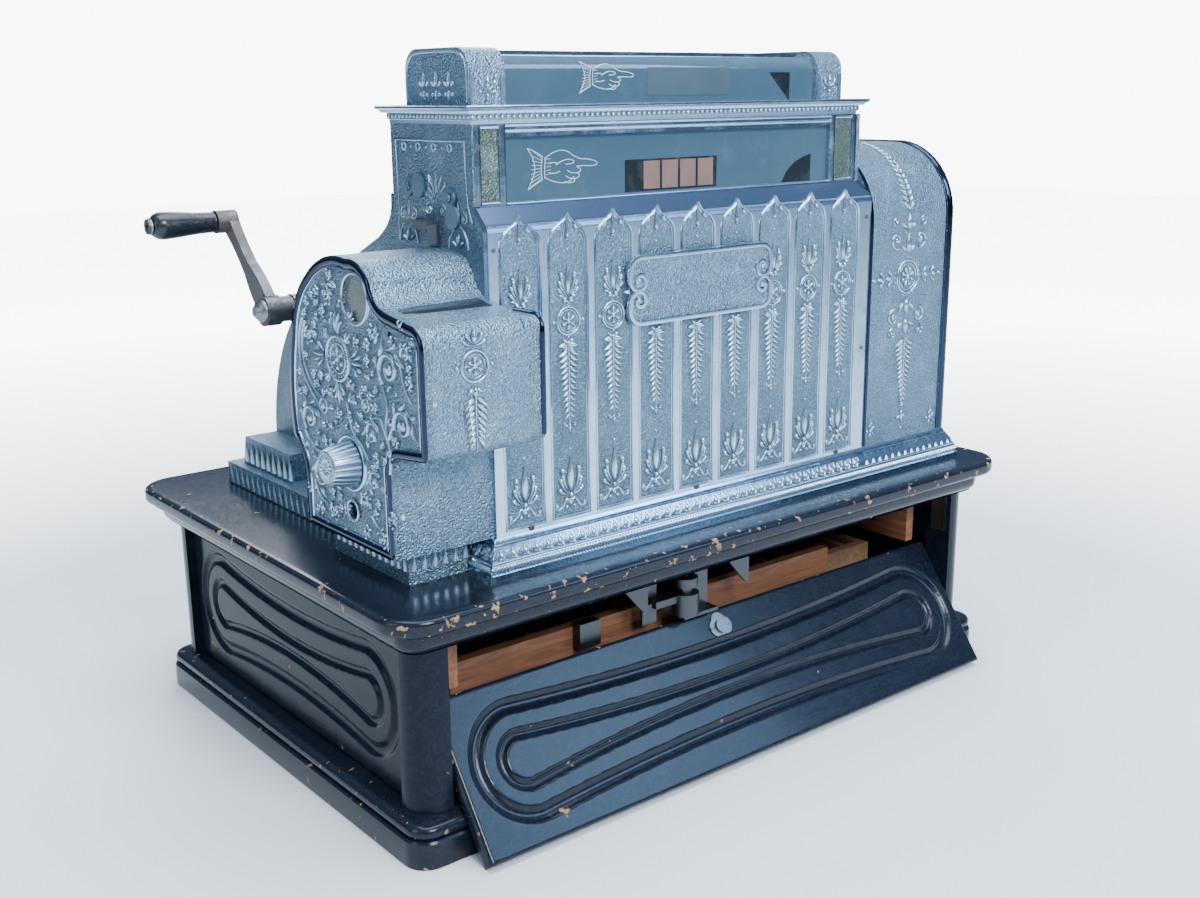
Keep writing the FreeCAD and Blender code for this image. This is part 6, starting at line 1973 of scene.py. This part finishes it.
# %% The housing's left wall
wall_work = Carving()
for across in (84, 104, 126, 147.5):
    ring(wall_work, across, 518.7, 2.8, 0.8, 1.3, 16)
for across in (94, 115, 137):
    wall_work.bead(across, 518.7, 1.0)
frame_line = [(71.7, 447), (71.7, 480), (71.7, 523.7), (110, 523.7), (166.7, 523.7),
              (166.7, 496), (168.5, 478), (174, 466)]
wall_work.stroke(frame_line, 1.1, 1.3)
leaf_fan(wall_work, 125.8, 478, 25, 90, 130, 7, 2.0)
pair(wall_work, 125.8, curl, 8.7, 473, 5.0, 90, -380, 1.0, 1.7)
for middle in (86, 155):
    pair(wall_work, middle, curl, 7.5, 468, 5.0, 90, -380, 1.0, 1.7)
    leaf(wall_work, (middle, 466), (middle, 480), 2.0, 1.8)
    arch = flowing([(middle - 13, 446), (middle - 10, 456), (middle, 463), (middle + 10, 456),
                    (middle + 13, 446)], 4)
    wall_work.stroke(arch, 0.9, 1.3)
    leaf_fan(wall_work, middle, 446, 12, 90, 110, 3, 1.4)


# Where each keyhole cover hangs, and how far it reaches as it swings.
COVER_SWEEPS = ((89.2, 488.8, 28.0), (146.2, 482.7, 28.0))
wall_x = -232.0


def under_covers(across, up, height):
    """The wall at wall_x, with the relief nearly flat where the covers swing."""
    for along, level, reach in COVER_SWEEPS:
        if math.dist((across, up), (along, level)) < reach:
            height = min(height, 0.25)
    return wall_x - height, -across, up


carved("housing_wall_ornament", wall_work, under_covers, "cast_nickel")


# %% [markdown]
# Screws hold the castings. One slotted head is modelled: two half discs on a thin base, with
# the slot between them. A tree puts a copy on every point, faces it along the point's own
# attribute, and turns its slot by a random angle from a fixed seed, as no two screws match.

# %% Slotted screws on points
def screw_tree():
    driver = Copier("screws_on_points", Head="Object", Size="Float", Seed="Int")
    given = driver.given
    head = driver.put("GeometryNodeObjectInfo", Object=given["Head"])
    facing = driver.put("GeometryNodeInputNamedAttribute", data_type="FLOAT_VECTOR", Name="facing")
    align = driver.put("FunctionNodeAlignRotationToVector", axis="Z",
                       Vector=facing.outputs["Attribute"])
    angle = driver.put("FunctionNodeRandomValue", data_type="FLOAT", Seed=given["Seed"])
    angle.inputs[3].default_value = 2 * math.pi
    spin = driver.put("ShaderNodeCombineXYZ", Z=angle.outputs[1])
    turned_head = driver.put("FunctionNodeRotateRotation", rotation_space="LOCAL",
                             Rotation=align.outputs[0], Rotate_By=spin.outputs[0])
    points = driver.put("GeometryNodeMeshToPoints", Mesh=given["Geometry"])
    return driver.copies(points.outputs[0], head.outputs["Geometry"],
                         Rotation=turned_head.outputs[0], Scale=given["Size"])


def slotted_head():
    """A screw head of 1 mm radius whose slot is open at both ends."""
    points, faces = [], []

    def prism(loop, low, high):
        first = len(points)
        points.extend((x, y, z) for z in (low, high) for x, y in loop)
        faces.extend(skin_over(2, len(loop), first))

    disc = [around(0, 0, 1, 2 * math.pi * n / 16) for n in range(16)]
    prism(disc, -0.3, 0.16)
    edge = math.asin(0.14)
    half = [around(0, 0, 1, edge + (math.pi - 2 * edge) * n / 8) for n in range(9)]
    prism(half, 0.16, 0.46)
    prism([(-x, -y) for x, y in half], 0.16, 0.46)
    return plain_object("slotted_head", points, faces, STEEL, sharp=30)


# %% The screws in their places
SCREWS = screw_tree()
HEAD = slotted_head()


def screws(name, spots, facing, size, material, slot, body="root"):
    """Screws at the spots, in millimetres, that face one way. Size is the head's radius."""
    mesh = bpy.data.meshes.new(name)
    mesh.from_pydata([tuple(value * MM for value in spot) for spot in spots], [], [])
    layer = mesh.attributes.new("facing", "FLOAT_VECTOR", "POINT")
    layer.data.foreach_set("vector", np.tile(facing, len(spots)).astype(np.float32))
    obj = bpy.data.objects.new(name, mesh)
    bpy.context.scene.collection.objects.link(obj)
    grow(obj, SCREWS, Head=HEAD, Size=float(size), Seed=4, Material=material)
    return dress(obj, slot, body)


FRONT = (0, -1, 0)
screws("front_foot_screws", [(x, front_y, 231.8) for x in (-199.5, -25.5, 150.7)], FRONT,
       2.3, RUSTY, "worn_steel")
screws("post_screw", [(-228.2, house_y - 1.5, 520)], FRONT, 2.2, STEEL, "worn_steel")
screws("flange_rivets", [(181.4, front_y, 446), (181.4, front_y, 326),
                         (-227.8, front_y, 447.5)], FRONT, 1.8, STEEL, "worn_steel")
screws("printer_front_rivets", [(-312, cover_low[1], 354.4), (-311, -189, 262),
                                (-226, -189, 300)], FRONT, 1.7, BRIGHT, "worn_steel")
screws("strap_screws", [(side_low[0] + 2.6, -124, 456)], (-1, 0, 0), 2.2, RUSTY, "worn_steel")
screws("escutcheon_screws", [on_panel(x, 48, 1.2) for x in (-10.6, 10.6)],
       (0, -math.cos(LEAN), math.sin(LEAN)), 1.5, STEEL, "worn_steel")
runner_spots = [(side * 282, along, 43.2) for side in (-1, 1) for along in (-150, 0, 150)]
screws("runner_screws", runner_spots, (0, 0, 1), 3.0, RUSTY, "worn_steel")
iron_low, iron_high = span("catch_bracket")
hanger_face = iron_low[1] + 25
screws("hanger_screws", [(iron_low[0] + 8, hanger_face, 160), (iron_high[0] - 9, hanger_face, 150)],
       (0, 1, 0), 2.4, RUSTY, "worn_steel")
bpy.data.objects.remove(HEAD)
print("screws driven")


# %% [markdown]
# The grip is black ebonite turned to fit the palm, with a pale worn ring where its end cap
# meets the spindle. A low steel dome stands on the nut that holds the arm.

# %% Crank grip
grip_low, grip_high = span("crank_grip")
grip_centre = (0, (grip_low[1] + grip_high[1]) / 2, (grip_low[2] + grip_high[2]) / 2)
grip_profile = [(grip_high[0], 3.9), (grip_high[0], 7.0), (grip_high[0] - 0.8, 8.2)]
for share in np.linspace(0.03, 0.8, 14):
    swell = 0.5 - 0.5 * math.cos(math.pi * min(share * 1.15, 1))
    grip_profile.append((grip_high[0] - share * (grip_high[0] - grip_low[0]), 8.1 + 2.7 * swell ** 1.2))
for share in np.linspace(0.84, 0.99, 6):
    fall = (share - 0.8) / 0.2
    grip_profile.append((grip_high[0] - share * (grip_high[0] - grip_low[0]),
                         10.8 * math.sqrt(max(1 - 0.62 * fall ** 2.6, 0.05))))
grip_profile.append((grip_low[0], 6.4))
turned("grip_turned", grip_profile, grip_centre, EBONITE, "ebonite", "grip", ("crank_grip",), sharp=50)
cap_profile = [(grip_low[0] - 0.4, 3.6), (grip_low[0] - 0.9, 6.6), (grip_low[0] - 2.0, 6.3),
               (grip_low[0] - 3.1, 4.6), (grip_low[0] - 3.5, 2.0)]
turned("grip_end_cap", cap_profile, grip_centre, STEEL, "worn_steel", "crank")
nut_low, nut_high = span("crank_nut")
nut_centre = (0, -30.0, 396.0)
turned("nut_dome", [(nut_high[0], 9.6), (nut_high[0] - 1.2, 9.4), (nut_high[0] - 2.6, 8.2),
                    (nut_low[0] + 1.4, 5.4), (nut_low[0] + 0.2, 1.6)],
       nut_centre, STEEL, "worn_steel", "crank", sharp=60)
print("crank dressed")


# %% [markdown]
# The clerk's side can't be seen in the photograph. Registers of this kind have the same cast
# ground and ornament there: bright rims round each lever's slot, a row of small plates beside
# it for the keys' values, which stay blank, and a field of leaves at each end of the cover.

# %% Bending a carving over the clerk's cover
cover_round = 167.0
cover_turn = math.radians(90 - 24.7)
axis_along, axis_up = 4.0, 240.0


def on_cover(across, up, height):
    """Up is the length along the cover, from the height of the lever shaft."""
    angle = min(up / cover_round, cover_turn)
    beyond = max(up - cover_round * cover_turn, 0)
    reach = cover_round + height
    return (across, axis_along + reach * math.cos(angle) - beyond * math.sin(angle),
            axis_up + reach * math.sin(angle) + beyond * math.cos(angle))


def box_line(low, high, foot, top, longest=12):
    return divided([(low, foot), (high, foot), (high, top), (low, top)], longest)


cover_lines = Carving()
cover_lines.stroke(box_line(-224, 180, -3, 298), 2.4, 1.6, FLAT_BACK, closed=True)
cover_lines.stroke(box_line(-219, 175, 2, 293), 0.6, 1.1, closed=True)
slot_middles = [(span(f"lever_{number}")[0][0] + span(f"lever_{number}")[1][0]) / 2
                for number in (1, 2, 3, 4)]
for middle in slot_middles:
    cover_lines.stroke(box_line(middle - 6.4, middle + 6.4, 3.4, 183.4, 8), 1.2, 1.8, closed=True)
carved("cover_lines", cover_lines, on_cover, "polished_nickel", material=BRIGHT)

blank_plates = Carving()
for middle in slot_middles:
    for number in range(10):
        up = 14 + number * 17.2
        blank_plates.stroke([(middle + 11.6, up), (middle + 16, up), (middle + 24, up),
                             (middle + 28.4, up)], 5.6, 1.3, FLAT_BACK)
carved("blank_key_plates", blank_plates, on_cover, "painted_glass", material=FADED)

cover_work = Carving()
for middle in (-168, 131):
    medallion(cover_work, middle, 110, 22, 15)
    fern(cover_work, middle, 205, 140, 24, 8, 9, 1)
    fern(cover_work, middle, 80, 18, 24, 8, 9, -1)
    for up, turn, sweep in ((150, 250, 400), (70, 110, -400)):
        pair(cover_work, middle, leafy_curl, 29, up, 9, turn, sweep)
    for turn in (0, 180):
        leaf_fan(cover_work, middle + (20 if turn == 0 else -20), 110, 20, turn, 90, 5, 1.7)
frieze = -22
medallion(cover_work, frieze, 240, 20, 14)
for across, size in ((42, 15), (78, 11), (106, 8)):
    pair(cover_work, frieze, leafy_curl, across, 240, size, 180, 420)
for turn in (90, 270):
    leaf_fan(cover_work, frieze, 240 + (18 if turn == 90 else -18), 22, turn, 120, 7, 1.8)
carved("cover_ornament", cover_work, on_cover, "cast_nickel")


# %% [markdown]
# A hollow moulding closes the step between the cover and the indicator, and a plate closes the
# open side of the round housing above the cover. Both follow the curves of the side plates.

# %% The cove behind the indicator and the housing's inner wall
def sheet_along_x(name, profile, low, high, material, slot):
    """A closed profile of (y, z) carried from one x to another."""
    points = [(across, y, z) for across in (low, high) for y, z in profile]
    return make_piece(name, points, skin_over(2, len(profile)), material, slot, sharp=25)


def cove(lift):
    """A curve from the slope of the cover to the upright face of the indicator."""
    start, knee, end = (-30, 440.4 + lift), (-61.5 + lift, 455.0 + lift), (-61.5 + lift, 475)
    made = []
    for t in np.linspace(0, 1, 9):
        made.append(tuple(start[n] * (1 - t) ** 2 + knee[n] * 2 * t * (1 - t) + end[n] * t * t
                          for n in (0, 1)))
    return made + [(-61.5 + lift, 482)]


sheet_along_x("back_cove", cove(2.0) + cove(0.0)[::-1], side_low[0] + 4.5, 184.5, PEBBLED, "cast_nickel")


def house_outline(inset, steps=16):
    """The outline of the round housing as (y, z), from its front foot over the top."""
    front, back, top = drum_low[1] + inset, drum_high[1] - inset, drum_high[2] - inset
    made = [(front, foot_z + inset)]
    for angle in np.linspace(0, math.pi / 2, steps):
        made.append((arc_centre_y - (arc_radius - inset) * math.cos(angle),
                     arc_spring + (arc_radius - inset) * math.sin(angle)))
    sweep = back_arc - inset
    for angle in np.linspace(0, math.pi / 2, steps):
        made.append((10 + sweep * math.sin(angle), top - sweep + sweep * math.cos(angle)))
    return made + [(back, foot_z + inset)]


sheet_along_x("housing_inner_wall", house_outline(3.6), drum_low[0] + 0.6, drum_low[0] + 2.4,
              PEBBLED, "cast_nickel")

# %% Ornament of the housing's right side and back
side_work, side_lines = Carving(), Carving()
side_lines.stroke(divided(house_outline(4.2), 14), 3.4, 1.4, FLAT_BACK, closed=True)
side_lines.stroke(divided(house_outline(10.5), 14), 0.7, 1.1, closed=True)
on_right_face = on_wall("right", drum_high[0])

medallion(side_work, -6, 360, 34, 24)
ring_of_beads(side_work, -6, 360, 29.5, 30, 1.5, 1.3)
for turn in range(0, 360, 45):
    reach, leaves = (46, 7) if turn % 90 == 0 else (30, 5)
    leaf_fan(side_work, *around(-6, 360, 33, math.radians(turn)), reach, turn, 76, leaves, 2.6)
for across, up, size in ((-112, 300, 24), (-112, 420, 20), (100, 300, 24), (88, 400, 20),
                         (-60, 262, 15), (48, 262, 15), (-150, 350, 14), (140, 350, 12),
                         (-60, 460, 14), (40, 462, 13), (-156, 258, 12), (140, 258, 12)):
    way = 1 if across < -6 else -1
    leafy_curl(side_work, across, up, size, 90 - 90 * way, 420 * way, 5)
for points in (((-34, 345), (-62, 320), (-88, 316)), ((22, 345), (48, 320), (76, 316)),
               ((-34, 378), (-66, 400), (-92, 408)), ((22, 378), (48, 392), (68, 396)),
               ((-112, 276), (-96, 252), (-74, 254)), ((100, 276), (84, 252), (62, 254)),
               ((-134, 308), (-150, 322), (-156, 338)), ((122, 308), (138, 322), (146, 340))):
    line = flowing(points, 5)
    side_work.stroke(line, np.linspace(2.2, 1.0, len(line)), 2.0)
for number in range(25):
    leaf_fan(side_work, -168 + 13.6 * number, 238, 10, 90, 80, 3, 1.5)
carved("housing_side_ornament", side_work, on_right_face, "cast_nickel")
carved("housing_side_lines", side_lines, on_right_face, "polished_nickel", material=RIM_BLUE)
carved("housing_back_ornament", drum_work, lambda across, up,
       height: over_the_drum(across, drum_path + foot_z - up, height), "cast_nickel")
print("clerk's side dressed")


# %% [markdown]
# The foot's rope and its egg and dart run on round the corners to the clerk's side, where the
# indicator has a second window of its own, with blank tablets behind it.

# %% The foot's rows on the back and the right, and the window for the clerk
laid_row("right_rope", strand, "right", tray_high[0] - rope_in, rope_up, -201, 3.1, 125, **ROPE)
laid_row("back_rope", strand, "back", tray_high[1] - rope_in, rope_up, -241, 3.1, 181, **ROPE)
laid_row("back_eggs", egg, "back", tray_high[1] - slope_in, slope_foot, -233, 11.2, 49, **SLOPE)


back_glass = span("indicator_glass")[1][1]
# A dark strip behind the back tablets: painted shade for the dim inside of the indicator.
window_work = Carving()
window_work.stroke([(-60, 493.5), (-30, 493.5), (0, 493.5), (27, 493.5)], 11.5, 0.25, FLAT_BACK)
carved("back_window_dark", window_work, on_wall("back", back_glass), "painted_glass", material=PAINTED_SHADE)
plates = Carving()
for number in range(4):
    across = -47 + 20 * number
    plates.stroke([(across, 483.5), (across, 489), (across, 498), (across, 503.5)], 9.2, 0.5, FLAT_BACK)
carved("back_blank_tablets", plates, on_wall("back", back_glass), "tablet_paint", material=TABLET)
back_frame = Carving()
back_face = frame_high[1]
back_frame.stroke(box_line(-222, 176, 482, 534), 1.6, 1.3, closed=True)
back_frame.stroke(box_line(-206, 150, 484, 529.5), 1.2, 1.2, closed=True)
carved("back_window_frame", back_frame, on_wall("back", back_face), "polished_nickel", material=BRIGHT)
